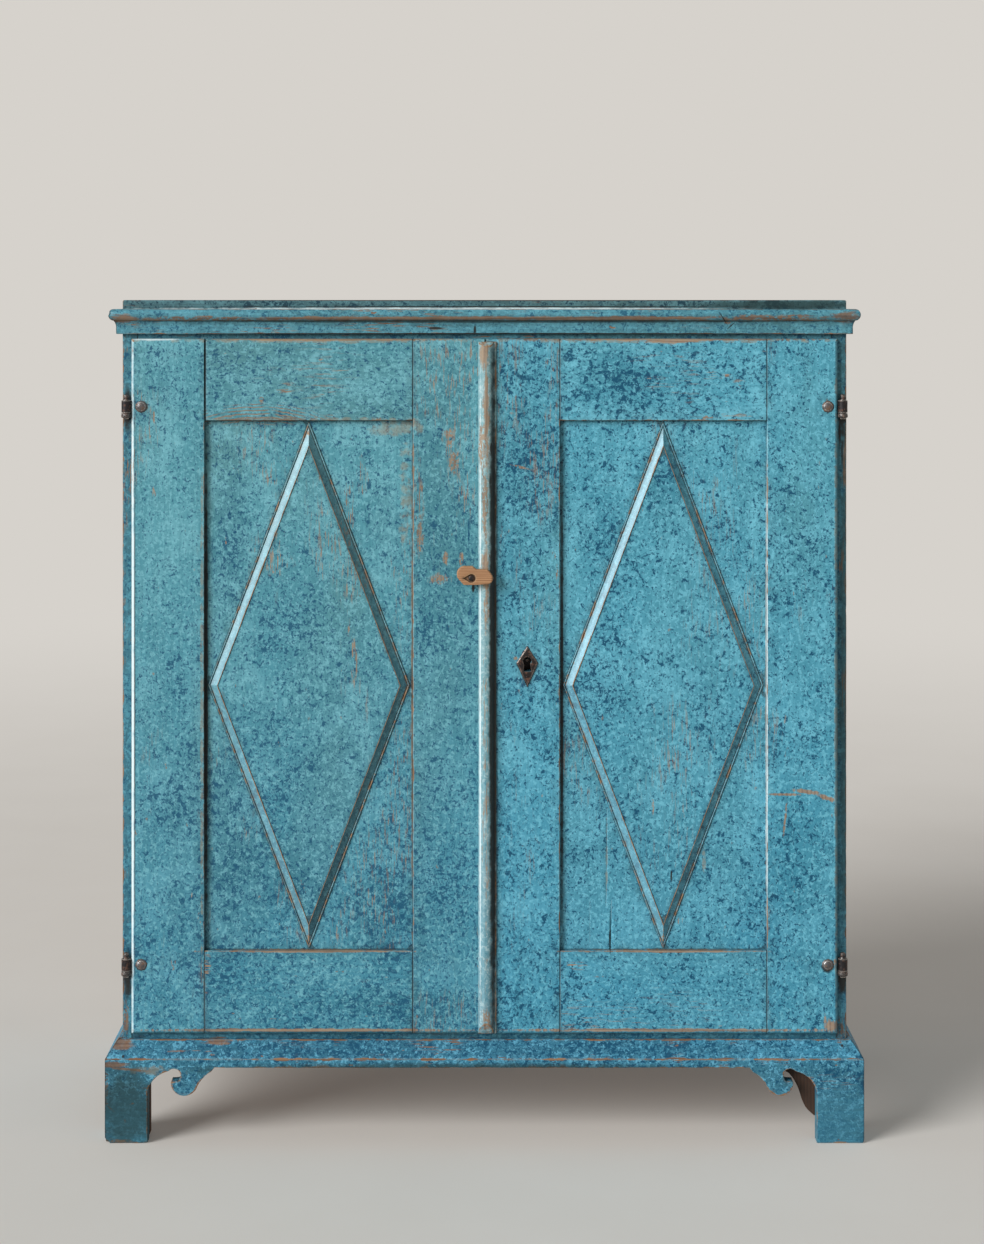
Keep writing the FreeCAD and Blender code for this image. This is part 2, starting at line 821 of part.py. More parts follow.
def make_hinge_stile(door):
    """The hinge stile: lipped, grooved, mortised, slotted for the hinge leaves and drilled for rivets."""
    body = new_body("%s_door_hinge_stile" % door.name)
    side = door.side
    edge = lip_edge * side
    tongue = edge - (D.side_overlap + D.door_play) * side
    sketch = sketch_on(body, "z", lip_bottom)
    outline(sketch, (edge, face), (door.hinge_inner, face), (door.hinge_inner, door_back),
            (tongue, door_back), (tongue, lip_back), (edge, lip_back))
    grow(body, sketch, "z", lip_top - lip_bottom)
    round_lip(body, edge)
    cut_end_rebates(body)
    cut_joints(body, door.hinge_inner, side)
    slots = sketch_on(body, "x", edge)
    holes = sketch_on(body, "y", ZERO)
    rivet_x = (hinge_x - D.rivet_reach) * side
    for bottom in (upper_eye_bottom, lower_eye_bottom):
        rectangle(slots, (leaf_front - D.leaf_play, bottom - D.leaf_play),
                  (leaf_back + D.leaf_play, bottom + D.eye_height + D.leaf_play))
        circle(holes, (rivet_x, bottom + D.eye_height / 2), D.rivet_radius + D.pin_clearance)
    cut(body, slots, "x", D.leaf_length - D.hinge_outset + D.leaf_play, -side)
    cut(body, holes, "y")


def make_meeting_stile(door):
    """The stile at the middle of the cabinet, grooved and mortised."""
    body = new_body("%s_door_meeting_stile" % door.name)
    low, high = ordered(door.meeting_edge, door.meeting_inner)
    sketch = sketch_on(body, "z", lip_bottom)
    rectangle(sketch, (low, face), (high, door_back))
    grow(body, sketch, "z", lip_top - lip_bottom)
    round_lip(body)
    cut_end_rebates(body)
    cut_joints(body, door.meeting_inner, -door.side)
    return body


def make_door_rails(door):
    """The top and bottom rails, each with a tenon at both ends."""
    low, high = ordered(door.hinge_inner, door.meeting_inner)
    lower_tenon, upper_tenon = tenon_spans()
    members = (
        ("bottom", panel_bottom, lip_bottom, D.floor_top + D.door_play, -1, lower_tenon),
        ("top", panel_top, lip_top, opening_top - D.door_play, 1, upper_tenon),
    )
    for name, inner, outer, rebate, way, tenon in members:
        body = new_body("%s_door_%s_rail" % (door.name, name))
        bed = inner + D.groove_depth * way
        sketch = sketch_on(body, "x", low)
        outline(sketch, (face, inner), (face, outer), (lip_back, outer), (lip_back, rebate),
                (door_back, rebate), (door_back, inner), (groove_back, inner), (groove_back, bed),
                (panel_face, bed), (panel_face, inner))
        grow(body, sketch, "x", high - low, 1)
        round_lip(body)
        tongue = sketch_on(body, "x", low - D.tenon_length)
        rectangle(tongue, (panel_face, tenon[0]), (groove_back, tenon[1]))
        grow(body, tongue, "x", high - low + D.tenon_length * 2, 1)


def loft(body, first, second):
    """Add a straight loft between two sketches."""
    feature = body.newObject("PartDesign::AdditiveLoft", "%s_loft" % body.Name)
    feature.Profile = first
    feature.Sections = [second]
    feature.Ruled = True
    DOC.recompute()
    return feature


def make_panel(door):
    """The panel: a tongue all round, flush in front, and a field that slopes at the back."""
    body = new_body("%s_door_panel" % door.name)
    low, high = ordered(door.hinge_inner, door.meeting_inner)
    out = D.groove_depth - D.panel_play
    tongue_back = groove_back - D.groove_play
    sketch = sketch_on(body, "y", panel_face)
    rectangle(sketch, (low - out, panel_bottom - out), (high + out, panel_top + out))
    grow(body, sketch, "y", tongue_back - panel_face, 1)
    gap = D.panel_play
    wide = sketch_on(body, "y", tongue_back)
    rectangle(wide, (low + gap, panel_bottom + gap), (high - gap, panel_top - gap))
    inset = D.panel_field_margin
    narrow = sketch_on(body, "y", panel_face + D.panel_thickness)
    rectangle(narrow, (low + inset, panel_bottom + inset), (high - inset, panel_top - inset))
    loft(body, wide, narrow)


def rhombus(sketch, centre, half_width, half_height):
    """Draw an upright rhombus about a centre."""
    x, z = centre
    low, high = (x, z - half_height), (x, z + half_height)
    return outline(sketch, (x - half_width, z), low, (x + half_width, z), high)


def make_lozenge(door):
    """The lozenge planted on the panel: a fillet, a quirk, a hollow that rises inwards, and a sunk field."""
    body = new_body("%s_door_lozenge" % door.name)
    low, high = ordered(door.hinge_inner, door.meeting_inner)
    half_width = (high - low) / 2 - D.lozenge_side_margin
    half_height = (panel_top - panel_bottom) / 2 - D.lozenge_end_margin
    centre = ((low + high) / 2, (panel_top + panel_bottom) / 2)
    slant = slope_length(half_width, half_height)

    def ring(place, inset, sketch=None):
        sketch = sketch or sketch_on(body, "y", place)
        width = half_width - inset * slant / half_height
        return rhombus(sketch, centre, width, half_height - inset * slant / half_width)

    level = panel_face - D.lozenge_edge
    grow(body, ring(panel_face, ZERO), "y", D.lozenge_edge, -1)
    foot = D.lozenge_fillet + D.lozenge_quirk
    quirk = ring(level, foot, ring(level, D.lozenge_fillet))
    cut(body, quirk, "y", D.lozenge_quirk_depth, 1)
    edge_face, inset = level, foot
    for along, up in HOLLOW_SHARES:
        next_level = edge_face - D.lozenge_rise * up
        next_inset = foot + D.lozenge_hollow * along
        loft(body, ring(level, inset), ring(next_level, next_inset))
        level, inset = next_level, next_inset
    cut(body, ring(level, inset + D.lozenge_crest), "y", D.lozenge_step, 1)


# Hinges
def make_pintle(name, side, eye_bottom):
    """A hook: a round pin standing on a square bar that narrows to a spike in the side board's edge."""
    body = new_body(name, hinge_x * side, hinge_y, eye_bottom)
    shoulder = -D.eye_rest_gap
    half = D.pintle_bar_width / 2
    bar = sketch_on(body, "y", -half)
    rectangle(bar, (-half, shoulder - D.pintle_bar_height), (half, shoulder))
    grow(body, bar, "y", half + D.hinge_proud, 1)
    pin = circle(sketch_on(body, "z", shoulder), (ZERO, ZERO), D.pin_radius)
    grow(body, pin, "z", D.eye_height + D.pin_tip - shoulder, 1)
    middle = shoulder - D.pintle_bar_height / 2
    thick = sketch_on(body, "y", D.hinge_proud)
    rectangle(thick, (-half, shoulder - D.pintle_bar_height), (half, shoulder))
    tip = D.spike_tip_size / 2
    thin = sketch_on(body, "y", D.hinge_proud + D.spike_length)
    rectangle(thin, (-tip, middle - tip), (tip, middle + tip))
    loft(body, thick, thin)
    top = D.eye_height.value + D.pin_tip.value + eye_bottom.value

    def pin_end(ends):
        return all(abs(end.z - top) < SAME_PLACE for end in ends)

    round_edges(body, D.pin_radius * PIN_ROUND_SHARE, pin_end)


def make_hinge_eye(name, side, eye_bottom):
    """The eye that turns on the pin, with its leaf let into the stile."""
    body = new_body(name, hinge_x * side, hinge_y, eye_bottom)
    ring = circle(sketch_on(body, "z", ZERO), (ZERO, ZERO), D.eye_radius)
    grow(body, ring, "z", D.eye_height)
    leaf = sketch_on(body, "z", ZERO)
    front = D.eye_radius - D.leaf_thickness
    near, far = ordered(ZERO, -D.leaf_length * side)
    rectangle(leaf, (near, front), (far, D.eye_radius))
    grow(body, leaf, "z", D.eye_height)
    bore = circle(sketch_on(body, "z", ZERO), (ZERO, ZERO), D.pin_radius + D.pin_clearance)
    cut(body, bore, "z")
    hole = circle(sketch_on(body, "y", ZERO), (-D.rivet_reach * side, D.eye_height / 2),
                  D.rivet_radius + D.pin_clearance)
    cut(body, hole, "y")


SIDEWAYS = FreeCAD.Vector(1, 0, 0)
BACKWARDS = FreeCAD.Vector(0, 1, 0)


def lathe(base, profile):
    """A turned solid: radius and distance pairs about a line that runs backwards from a point."""
    flat = [base + BACKWARDS * along + SIDEWAYS * radius for radius, along in profile]
    wire = Part.makePolygon(flat + [flat[0]])
    return Part.Face(wire).revolve(base, BACKWARDS, FULL_TURN)


def dome(radius, height, start):
    """Radius and distance pairs up a shallow dome, from its rim to its crown."""
    pairs = []
    for step in range(DOME_STEPS + 1):
        turn = math.pi / 2 * step / DOME_STEPS
        pairs.append((radius * math.cos(turn), start - height * math.sin(turn)))
    return pairs


def add_shape(label, shape):
    """A sub-part whose form is computed, set in the cabinet's frame."""
    piece = DOC.addObject("Part::Feature", label)
    piece.Label = label
    piece.Shape = shape
    piece.Placement = FreeCAD.Placement(FreeCAD.Vector(0, frame_shift.value, 0), FreeCAD.Rotation())
    PIECES.append(piece)
    return piece


def make_rivets(name, side):
    """The two hinge rivets of a door: domed heads in front and clenched ends at the back."""
    solids = []
    shank = D.rivet_radius.value
    for bottom in (upper_eye_bottom, lower_eye_bottom):
        height = bottom + D.eye_height / 2
        base = FreeCAD.Vector(number((hinge_x - D.rivet_reach) * side), 0, height.value)
        profile = dome(D.rivet_head_radius.value, D.rivet_head_height.value, face.value)[::-1]
        profile += [(shank, face.value), (shank, door_back.value)]
        profile += [(D.rivet_clench_radius.value, door_back.value)]
        end = (door_back + D.rivet_clench_height).value
        profile += [(D.rivet_clench_radius.value * CLENCH_END_SHARE, end), (0, end)]
        solids.append(lathe(base, profile))
    add_shape(name, Part.makeCompound(solids))


# Meeting strip and turn button
def make_meeting_strip():
    """The half-round strip on the right door, which laps the left door, with bevelled ends."""
    body = new_body("meeting_strip")
    left = D.meeting_offset - D.strip_left_reach
    bead_end = left + D.strip_bead_width
    right = bead_end + D.strip_fillet_width
    fillet = face - D.strip_fillet_thickness
    lap = face - D.strip_lap_gap
    top = lip_top - D.strip_top_drop
    bottom = lip_bottom + D.strip_bottom_rise
    sketch = sketch_on(body, "z", bottom)
    outline(sketch, (left, lap), (right_meeting_edge, lap), (right_meeting_edge, face), (right, face),
            (right, fillet), (bead_end, fillet),
            Bend(((left + bead_end) / 2, strip_crown), (left, lap)))
    grow(body, sketch, "z", top - bottom)
    ends = sketch_on(body, "x", ZERO)
    past = strip_crown - D.overrun
    for end, way, bevel in ((top, 1, D.strip_top_bevel), (bottom, -1, D.strip_bottom_bevel)):
        outline(ends, (strip_crown, end - bevel * way), (fillet, end), (fillet, end + D.overrun * way),
                (past, end + D.overrun * way), (past, end - bevel * way))
    cut(body, ends, "x")


def on_button(name, along, up):
    """A place on the button's outline: the named shares of a reach and of a rise."""
    share_along, share_up = BUTTON_SHARES[name]
    return along * share_along, up * share_up


def make_turn_button():
    """The wooden button: a thick rounded tail, a narrower blunt head and a well for the screw."""
    body = new_body("turn_button", button_x, button_back, button_z)
    tail = -D.button_tail
    upper = D.button_upper
    lower = -D.button_lower
    head = D.button_head
    shoulder = D.button_shoulder
    head_upper = D.button_head_upper
    dip_along, dip_up = on_button("shoulder_via", shoulder, upper - head_upper)
    sketch = sketch_on(body, "y", -D.button_thickness)
    outline(
        sketch,
        on_button("tail_low", tail, lower),
        on_button("tail_end", tail, lower),
        Bend(on_button("tail_via", tail, upper), on_button("tail_top", tail, upper)),
        on_button("neck", shoulder, upper),
        Bend((dip_along, head_upper + dip_up), (shoulder, head_upper)),
        on_button("head_top", head, head_upper),
        Bend(on_button("nose_via", head, head_upper), (head, ZERO)),
        Bend(on_button("chin_via", head, lower), on_button("chin", head, lower)),
        on_button("throat", head, lower),
    )
    grow(body, sketch, "y", D.button_thickness, 1)
    front = button_front.value + frame_shift.value

    def front_arris(ends):
        return all(abs(end.y - front) < SAME_PLACE for end in ends)

    round_edges(body, D.button_arris, front_arris)
    well = sketch_on(body, "y", -D.button_thickness)
    radius = D.screw_well_radius
    back = -radius * WELL_BACK_SHARES[0]
    rise = radius * WELL_BACK_SHARES[1]
    outline(well, (-D.screw_well_point, ZERO), (back, -rise), Bend((radius, ZERO), (back, rise)))
    cut(body, well, "y", D.screw_well_depth, 1)
    hole = circle(sketch_on(body, "y", ZERO), (ZERO, ZERO), D.screw_radius + D.pin_clearance)
    cut(body, hole, "y")


def make_button_spacer():
    """The turned spacer that holds the button off the door, level with the strip."""
    body = new_body("turn_button_spacer", button_x, face, button_z)
    height = face - button_back - D.eye_rest_gap
    disc = circle(sketch_on(body, "y", ZERO), (ZERO, ZERO), D.spacer_radius)
    grow(body, disc, "y", height, -1)
    hole = circle(sketch_on(body, "y", ZERO), (ZERO, ZERO), D.screw_radius + D.pin_clearance)
    cut(body, hole, "y")


def make_button_screw():
    """The round-headed screw that the button turns on, in the left meeting stile."""
    seat = button_front + D.screw_well_depth - D.eye_rest_gap
    shank = D.screw_radius.value
    end = (face + D.screw_depth).value
    profile = dome(D.screw_head_radius.value, D.screw_head_height.value, seat.value)[::-1]
    profile += [(shank, seat.value), (shank, end - shank), (0, end)]
    base = FreeCAD.Vector(button_x.value, 0, button_z.value)
    add_shape("turn_button_screw", lathe(base, profile))


# Lock
def keyhole(sketch, centre):
    """A keyhole: a round eye over a slot that flares at its foot."""
    x, z = centre
    neck_top = z - D.keyhole_radius * NECK_RISE_SHARE
    outline(
        sketch,
        (x - D.keyhole_neck, neck_top),
        (x - D.keyhole_flare, z - D.keyhole_length),
        (x + D.keyhole_flare, z - D.keyhole_length),
        (x + D.keyhole_neck, neck_top),
        Bend((x, z + D.keyhole_radius), (x - D.keyhole_neck, neck_top)),
    )
    return sketch


def make_escutcheon():
    """The kite-shaped iron plate with bevelled edges and the keyhole cut through it."""
    body = new_body("escutcheon", keyhole_x, face, keyhole_z)
    low = -D.plate_widest_drop

    def kite(sketch, inset):
        half = D.plate_half_width - inset
        slant = inset * PLATE_SLANT_SHARE
        return outline(sketch, (-half, low), (ZERO, slant - D.plate_lower), (half, low),
                       (ZERO, D.plate_upper - slant))

    flat = kite(sketch_on(body, "y", ZERO), ZERO)
    grow(body, flat, "y", D.plate_thickness - D.plate_bevel, -1)
    edge = D.plate_bevel - D.plate_thickness
    loft(body, kite(sketch_on(body, "y", edge), ZERO),
         kite(sketch_on(body, "y", -D.plate_thickness), D.plate_bevel * 2))
    cut(body, keyhole(sketch_on(body, "y", ZERO), (ZERO, ZERO)), "y")


def make_lock_case():
    """The box lock: an iron tray, open towards the door, with a way out for the bolt."""
    body = new_body("lock_case")
    right = lock_left + D.lock_width
    top = lock_bottom + D.lock_height
    sketch = rectangle(sketch_on(body, "y", door_back), (lock_left, lock_bottom), (right, top))
    grow(body, sketch, "y", D.lock_depth, 1)
    hollow = sketch_on(body, "y", door_back)
    wall = D.lock_wall
    rectangle(hollow, (lock_left + wall, lock_bottom + wall), (right - wall, top - wall))
    cut(body, hollow, "y", D.lock_depth - wall, 1)
    way_out = sketch_on(body, "x", lock_left + wall + D.overrun)
    play = D.lock_bolt_play
    rectangle(way_out, (lock_bolt_front - play, lock_bolt_bottom - play),
              (lock_bolt_front + D.lock_bolt_thickness + play, lock_bolt_bottom + D.lock_bolt_height + play))
    cut(body, way_out, "x", D.overrun * 2 + wall, -1)


def make_drill_pin():
    """The pin in the lock that a piped key fits over."""
    back = lock_back - D.lock_wall
    front = face + D.panel_recess
    profile = [(0, front.value), (D.drill_pin_radius.value, front.value),
               (D.drill_pin_radius.value, back.value), (0, back.value)]
    base = FreeCAD.Vector(keyhole_x.value, 0, keyhole_z.value)
    add_shape("lock_drill_pin", lathe(base, profile))


def make_lock_bolt():
    """The lock's bolt, drawn back, with the notch that the key's bit throws."""
    body = new_body("lock_bolt", lock_left, lock_bolt_front, lock_bolt_bottom)
    sketch = sketch_on(body, "y", ZERO)
    talon = keyhole_x - lock_left + D.lock_bolt_travel / 2
    end = D.lock_bolt_length
    half = D.talon_width / 2
    outline(sketch, (ZERO, ZERO), (talon - half, ZERO), (talon - half, D.talon_depth),
            (talon + half, D.talon_depth), (talon + half, ZERO), (end, ZERO), (end, D.lock_bolt_height),
            (ZERO, D.lock_bolt_height))
    grow(body, sketch, "y", D.lock_bolt_thickness, 1)


# Inside bolt of the left door
def make_door_bolt():
    """The iron bolt that holds the left door: a wooden pad, two staples and the sliding bar."""
    half_pad = D.door_bolt_pad_width / 2
    pad_top = opening_top - D.door_bolt_pad_drop
    pad_bottom = pad_top - D.door_bolt_pad_height
    board("door_bolt_pad", (bolt_x - half_pad, door_back, pad_bottom),
          (bolt_x + half_pad, pad_back, pad_top))
    bar = board("door_bolt_bar",
                (bolt_x - D.door_bolt_width / 2, bolt_front, bolt_top - D.door_bolt_length),
                (bolt_x + D.door_bolt_width / 2, bolt_front + D.door_bolt_thickness, bolt_top))
    middle = (pad_top + pad_bottom) / 2 - D.staple_height
    knob = circle(sketch_on(bar, "y", bolt_front), (bolt_x, middle), D.knob_radius)
    grow(bar, knob, "y", D.door_bolt_thickness + D.knob_length, 1)
    inner = D.door_bolt_width / 2 + D.door_bolt_play
    outer = inner + D.staple_iron
    roof = bolt_front + D.door_bolt_thickness + D.door_bolt_play
    solids = []
    for low in (pad_bottom + D.staple_margin, pad_top - D.staple_margin - D.staple_height):
        corners = [(bolt_x - outer, pad_back), (bolt_x - outer, roof + D.staple_iron),
                   (bolt_x + outer, roof + D.staple_iron), (bolt_x + outer, pad_back),
                   (bolt_x + inner, pad_back), (bolt_x + inner, roof), (bolt_x - inner, roof),
                   (bolt_x - inner, pad_back)]
        flat = [FreeCAD.Vector(x.value, y.value, low.value) for x, y in corners]
        strap = Part.Face(Part.makePolygon(flat + [flat[0]]))
        solids.append(strap.extrude(FreeCAD.Vector(0, 0, D.staple_height.value)))
    add_shape("door_bolt_staples", Part.makeCompound(solids))


def make_doors():
    """Both doors with their frames, panels, lozenges and hinges."""
    doors = (
        door_of("left", -1, D.left_hinge_stile_width, D.left_meeting_stile_width, left_meeting_edge),
        door_of("right", 1, D.right_hinge_stile_width, D.right_meeting_stile_width, right_meeting_edge),
    )
    for door in doors:
        make_hinge_stile(door)
        stile = make_meeting_stile(door)
        make_door_rails(door)
        make_panel(door)
        make_lozenge(door)
        make_rivets("%s_door_rivets" % door.name, door.side)
        for level, bottom in (("upper", upper_eye_bottom), ("lower", lower_eye_bottom)):
            make_pintle("%s_%s_pintle" % (door.name, level), door.side, bottom)
            make_hinge_eye("%s_%s_hinge_eye" % (door.name, level), door.side, bottom)
        if door.name == "left":
            hole = circle(sketch_on(stile, "y", face), (button_x, button_z),
                          D.screw_radius + D.pin_clearance)
            cut(stile, hole, "y", D.screw_depth + D.pin_clearance, 1)
        else:
            cut(stile, keyhole(sketch_on(stile, "y", ZERO), (keyhole_x, keyhole_z)), "y")


def check_document():
    """Stop if any object failed or any sub-part is not a sound solid."""
    DOC.recompute()
    for item in DOC.Objects:
        if "Invalid" in item.State or "Error" in item.State:
            raise RuntimeError("%s failed: %s" % (item.Label, item.State))
    for piece in PIECES:
        shape = piece.Shape
        if shape.isNull() or not shape.isValid() or not shape.Solids:
            raise RuntimeError("%s has no sound solid" % piece.Label)


def write_parts():
    """Write one file for each sub-part."""
    os.makedirs("parts", exist_ok=True)
    for piece in PIECES:
        piece.Shape.exportStep("parts/%s.step" % piece.Label)
    print("%d parts written" % len(PIECES))


make_side_board("left_side_board", -1)
make_side_board("right_side_board", 1)
make_top_board()
make_bottom_board()
make_rails()
make_back()
make_shelf("lower", D.lower_shelf_top)
make_shelf("upper", D.upper_shelf_top)
make_cornice()
make_base()
make_foot_blocks()
make_doors()
make_meeting_strip()
make_turn_button()
make_button_spacer()
make_button_screw()
make_escutcheon()
make_lock_case()
make_drill_pin()
make_lock_bolt()
make_door_bolt()
check_document()
write_parts()
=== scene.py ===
import json
import logging
import math
import random
from dataclasses import dataclass, field, replace
from enum import Enum
from functools import partial, reduce
from operator import or_
from typing import Iterable, Optional, Sequence, Union

import bmesh
import bpy
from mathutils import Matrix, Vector, geometry, noise
from mathutils.bvhtree import BVHTree
from mathutils.kdtree import KDTree

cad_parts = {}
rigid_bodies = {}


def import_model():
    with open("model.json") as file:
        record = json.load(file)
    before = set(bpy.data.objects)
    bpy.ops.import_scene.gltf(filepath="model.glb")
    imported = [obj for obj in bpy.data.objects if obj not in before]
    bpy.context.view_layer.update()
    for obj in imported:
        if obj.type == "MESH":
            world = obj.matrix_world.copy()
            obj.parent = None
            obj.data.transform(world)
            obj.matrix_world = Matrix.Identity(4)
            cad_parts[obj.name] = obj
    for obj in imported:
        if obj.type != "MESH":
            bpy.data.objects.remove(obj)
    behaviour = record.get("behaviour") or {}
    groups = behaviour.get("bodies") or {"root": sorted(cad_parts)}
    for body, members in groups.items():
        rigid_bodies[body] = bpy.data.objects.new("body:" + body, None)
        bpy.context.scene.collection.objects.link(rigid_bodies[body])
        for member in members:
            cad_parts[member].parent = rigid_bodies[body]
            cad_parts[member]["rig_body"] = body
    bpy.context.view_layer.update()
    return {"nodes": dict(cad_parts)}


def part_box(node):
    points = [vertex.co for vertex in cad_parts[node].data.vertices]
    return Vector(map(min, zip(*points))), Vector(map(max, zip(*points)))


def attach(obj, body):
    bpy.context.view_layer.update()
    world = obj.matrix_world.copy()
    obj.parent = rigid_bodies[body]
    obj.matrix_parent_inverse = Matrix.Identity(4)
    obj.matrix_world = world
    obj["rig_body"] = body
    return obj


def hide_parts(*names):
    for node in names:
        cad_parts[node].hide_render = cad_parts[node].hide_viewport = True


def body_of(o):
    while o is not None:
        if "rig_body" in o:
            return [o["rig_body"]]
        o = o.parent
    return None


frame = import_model()
LOG = logging.getLogger("storage_cabinet")
MM = 0.001
SHARP = math.radians(28)
HANDS = {"left": -1, "right": 1}
LEVELS = ("upper", "lower")
DOOR_FACE = -221.15 * MM
HINGE_AXIS = (519.8 * MM, -218.85 * MM)
RIVET_X = 497.8 * MM

Colour = tuple[float, float, float, float]
Value = Union["Term", bpy.types.NodeSocket, float, Sequence[float]]


def paint(red: int, green: int, blue: int) -> Colour:
    """A colour as the eye reads it, from 0 to 255, in the linear values that shaders take.

    Args:
        red: Red as seen, 0 to 255.
        green: Green as seen, 0 to 255.
        blue: Blue as seen, 0 to 255.

    Returns:
        The linear colour with full alpha.
    """
    parts = [value / 255 for value in (red, green, blue)]
    linear = [part / 12.92 if part < 0.04045 else ((part + 0.055) / 1.055) ** 2.4 for part in parts]
    return linear[0], linear[1], linear[2], 1.0


class Grain(Enum):
    """The axis that a board's fibres run along."""

    ACROSS = 0
    BACK = 1
    UP = 2


class Side(Enum):
    """A way that a face looks."""

    FRONT = (0, -1, 0)
    BACK = (0, 1, 0)
    LEFT = (-1, 0, 0)
    RIGHT = (1, 0, 0)
    TOP = (0, 0, 1)
    UNDER = (0, 0, -1)


ALL_ROUND = tuple(Side)
ALL_BUT_BACK = tuple(side for side in Side if side is not Side.BACK)


# Shader maths
class Term:
    """A number that varies over a surface, which Python sums can be written with."""

    def __init__(self, bench: "Bench", socket: bpy.types.NodeSocket) -> None:
        """Wrap one output socket."""
        self.bench = bench
        self.socket = socket

    def _sum(self, operation: str, first: Value, second: Value = 0.0) -> "Term":
        """What one Math node makes of one or two values."""
        return self.bench.term("ShaderNodeMath", {"operation": operation}, {0: first, 1: second})

    def __add__(self, other: Value) -> "Term":
        """The sum."""
        return self._sum("ADD", self, other)

    __radd__ = __add__

    def __sub__(self, other: Value) -> "Term":
        """The difference."""
        return self._sum("SUBTRACT", self, other)

    def __rsub__(self, other: Value) -> "Term":
        """The difference from a number."""
        return self._sum("SUBTRACT", other, self)

    def __mul__(self, other: Value) -> "Term":
        """The product."""
        return self._sum("MULTIPLY", self, other)

    __rmul__ = __mul__

    def __pow__(self, other: Value) -> "Term":
        """The power."""
        return self._sum("POWER", self, other)

    def __or__(self, other: Value) -> "Term":
        """The larger of two masks."""
        return self._sum("MAXIMUM", self, other)

    __ror__ = __or__

    def size(self) -> "Term":
        """The number without its sign."""
        return self._sum("ABSOLUTE", self)

    def sine(self) -> "Term":
        """The sine, moved to run from 0 to 1."""
        return self._sum("SINE", self) * 0.5 + 0.5

    def ramp(self, low: Value, high: Value) -> "Term":
        """A smooth step from 0 at the low value to 1 at the high one."""
        values = {"Value": self, "From Min": low, "From Max": high}
        return self.bench.term("ShaderNodeMapRange", {"interpolation_type": "SMOOTHSTEP"}, values)


class Bench:
    """One material, or the world, in the making: every node in it is added here."""

    def __init__(self, owner: Union[bpy.types.Material, bpy.types.World]) -> None:
        """Start with an empty tree.

        Args:
            owner: The material or the world, just made.
        """
        owner.use_nodes = True
        self.owner = owner
        self.tree = owner.node_tree
        self.tree.nodes.clear()

    def node(self, kind: str, settings: Optional[dict] = None, values: Optional[dict] = None) -> bpy.types.Node:
        """Add any node.

        Args:
            kind: The node's type.
            settings: Its own settings, set first.
            values: Numbers, colours or links for its sockets, by name or index.

        Returns:
            The node.
        """
        made = self.tree.nodes.new(kind)
        for key, value in (settings or {}).items():
            setattr(made, key, value)
        for key, value in (values or {}).items():
            source = value.socket if isinstance(value, Term) else value
            if isinstance(source, bpy.types.NodeSocket):
                self.tree.links.new(source, made.inputs[key])
            else:
                made.inputs[key].default_value = source
        return made

    def term(self, kind: str, settings: dict, values: dict) -> Term:
        """Add a node and keep its first output as a number."""
        return Term(self, self.node(kind, settings, values).outputs[0])

    def attribute(self, name: str, output: str = "Vector") -> bpy.types.NodeSocket:
        """What a mesh says about itself under that name."""
        return self.node("ShaderNodeAttribute", {"attribute_name": name}).outputs[output]

    def place(self) -> bpy.types.NodeSocket:
        """The place on the cabinet, in metres."""
        return self.node("ShaderNodeTexCoord").outputs["Object"]

    def parts(self, vector: bpy.types.NodeSocket) -> tuple[Term, Term, Term]:
        """The three numbers of a vector."""
        made = self.node("ShaderNodeSeparateXYZ", values={0: vector})
        return Term(self, made.outputs[0]), Term(self, made.outputs[1]), Term(self, made.outputs[2])

    def stretch(self, vector: bpy.types.NodeSocket, by: Sequence[float]) -> bpy.types.NodeSocket:
        """A vector with each part multiplied."""
        return self.node("ShaderNodeVectorMath", {"operation": "MULTIPLY"}, {0: vector, 1: by}).outputs[0]

    def cloud(self, vector: bpy.types.NodeSocket, per_metre: float, detail: float = 2.0,
              rough: float = 0.5, twist: float = 0.0) -> Term:
        """Soft noise from 0 to 1, mostly near a half, with so many lumps to the metre."""
        values = {"Vector": vector, "Scale": per_metre, "Detail": detail, "Roughness": rough, "Distortion": twist}
        return self.term("ShaderNodeTexNoise", {}, values)

    def drawn(self, grain: bpy.types.NodeSocket, along: float, per_metre: float, detail: float = 3.0,
              rough: float = 0.6) -> Term:
        """Soft noise that is drawn out along the fibres: the smaller the second number, the longer."""
        return self.cloud(self.stretch(grain, (1, 1, along)), per_metre, detail, rough)

    def blend(self, share: Value, first: Value, second: Value) -> bpy.types.NodeSocket:
        """The first colour with a share of the second over it."""
        made = self.node("ShaderNodeMix", {"data_type": "RGBA"}, {0: share, 6: first, 7: second})
        return made.outputs[2]

    def relief(self, height: Term, strength: float, depth: float = 0.5 * MM) -> bpy.types.NodeSocket:
        """A bump for the shader's normal, where a height of 1 stands for the depth."""
        values = {"Height": height, "Distance": depth, "Strength": strength}
        return self.node("ShaderNodeBump", {}, values).outputs[0]

    def surface(self, values: dict) -> bpy.types.Material:
        """Close the material with its shader."""
        shader = self.node("ShaderNodeBsdfPrincipled", {}, values)
        self.node("ShaderNodeOutputMaterial", {}, {"Surface": shader.outputs[0]})
        return self.owner


# Places of wear
class Wear(Enum):
    """What use and age have done to a place."""

    RUBBED = "rubbed to the wood in crumbs"
    SCRAPED = "scraped to the wood all over"
    STREAKED = "rubbed to the wood along the fibres"
    ARCHED = "rubbed to the wood along arched growth rings"
    DABBED = "sponged more heavily"
    DIRT_AND_SHADOW = "dark with grime"
    HAZY = "thinned to a tan haze"
    PAINTED_HIGHLIGHT = "handled until it is chalky and pale"
    INKED = "a blot or a run of the darker paint"
    DARKENED = "darkened by damp and soot"


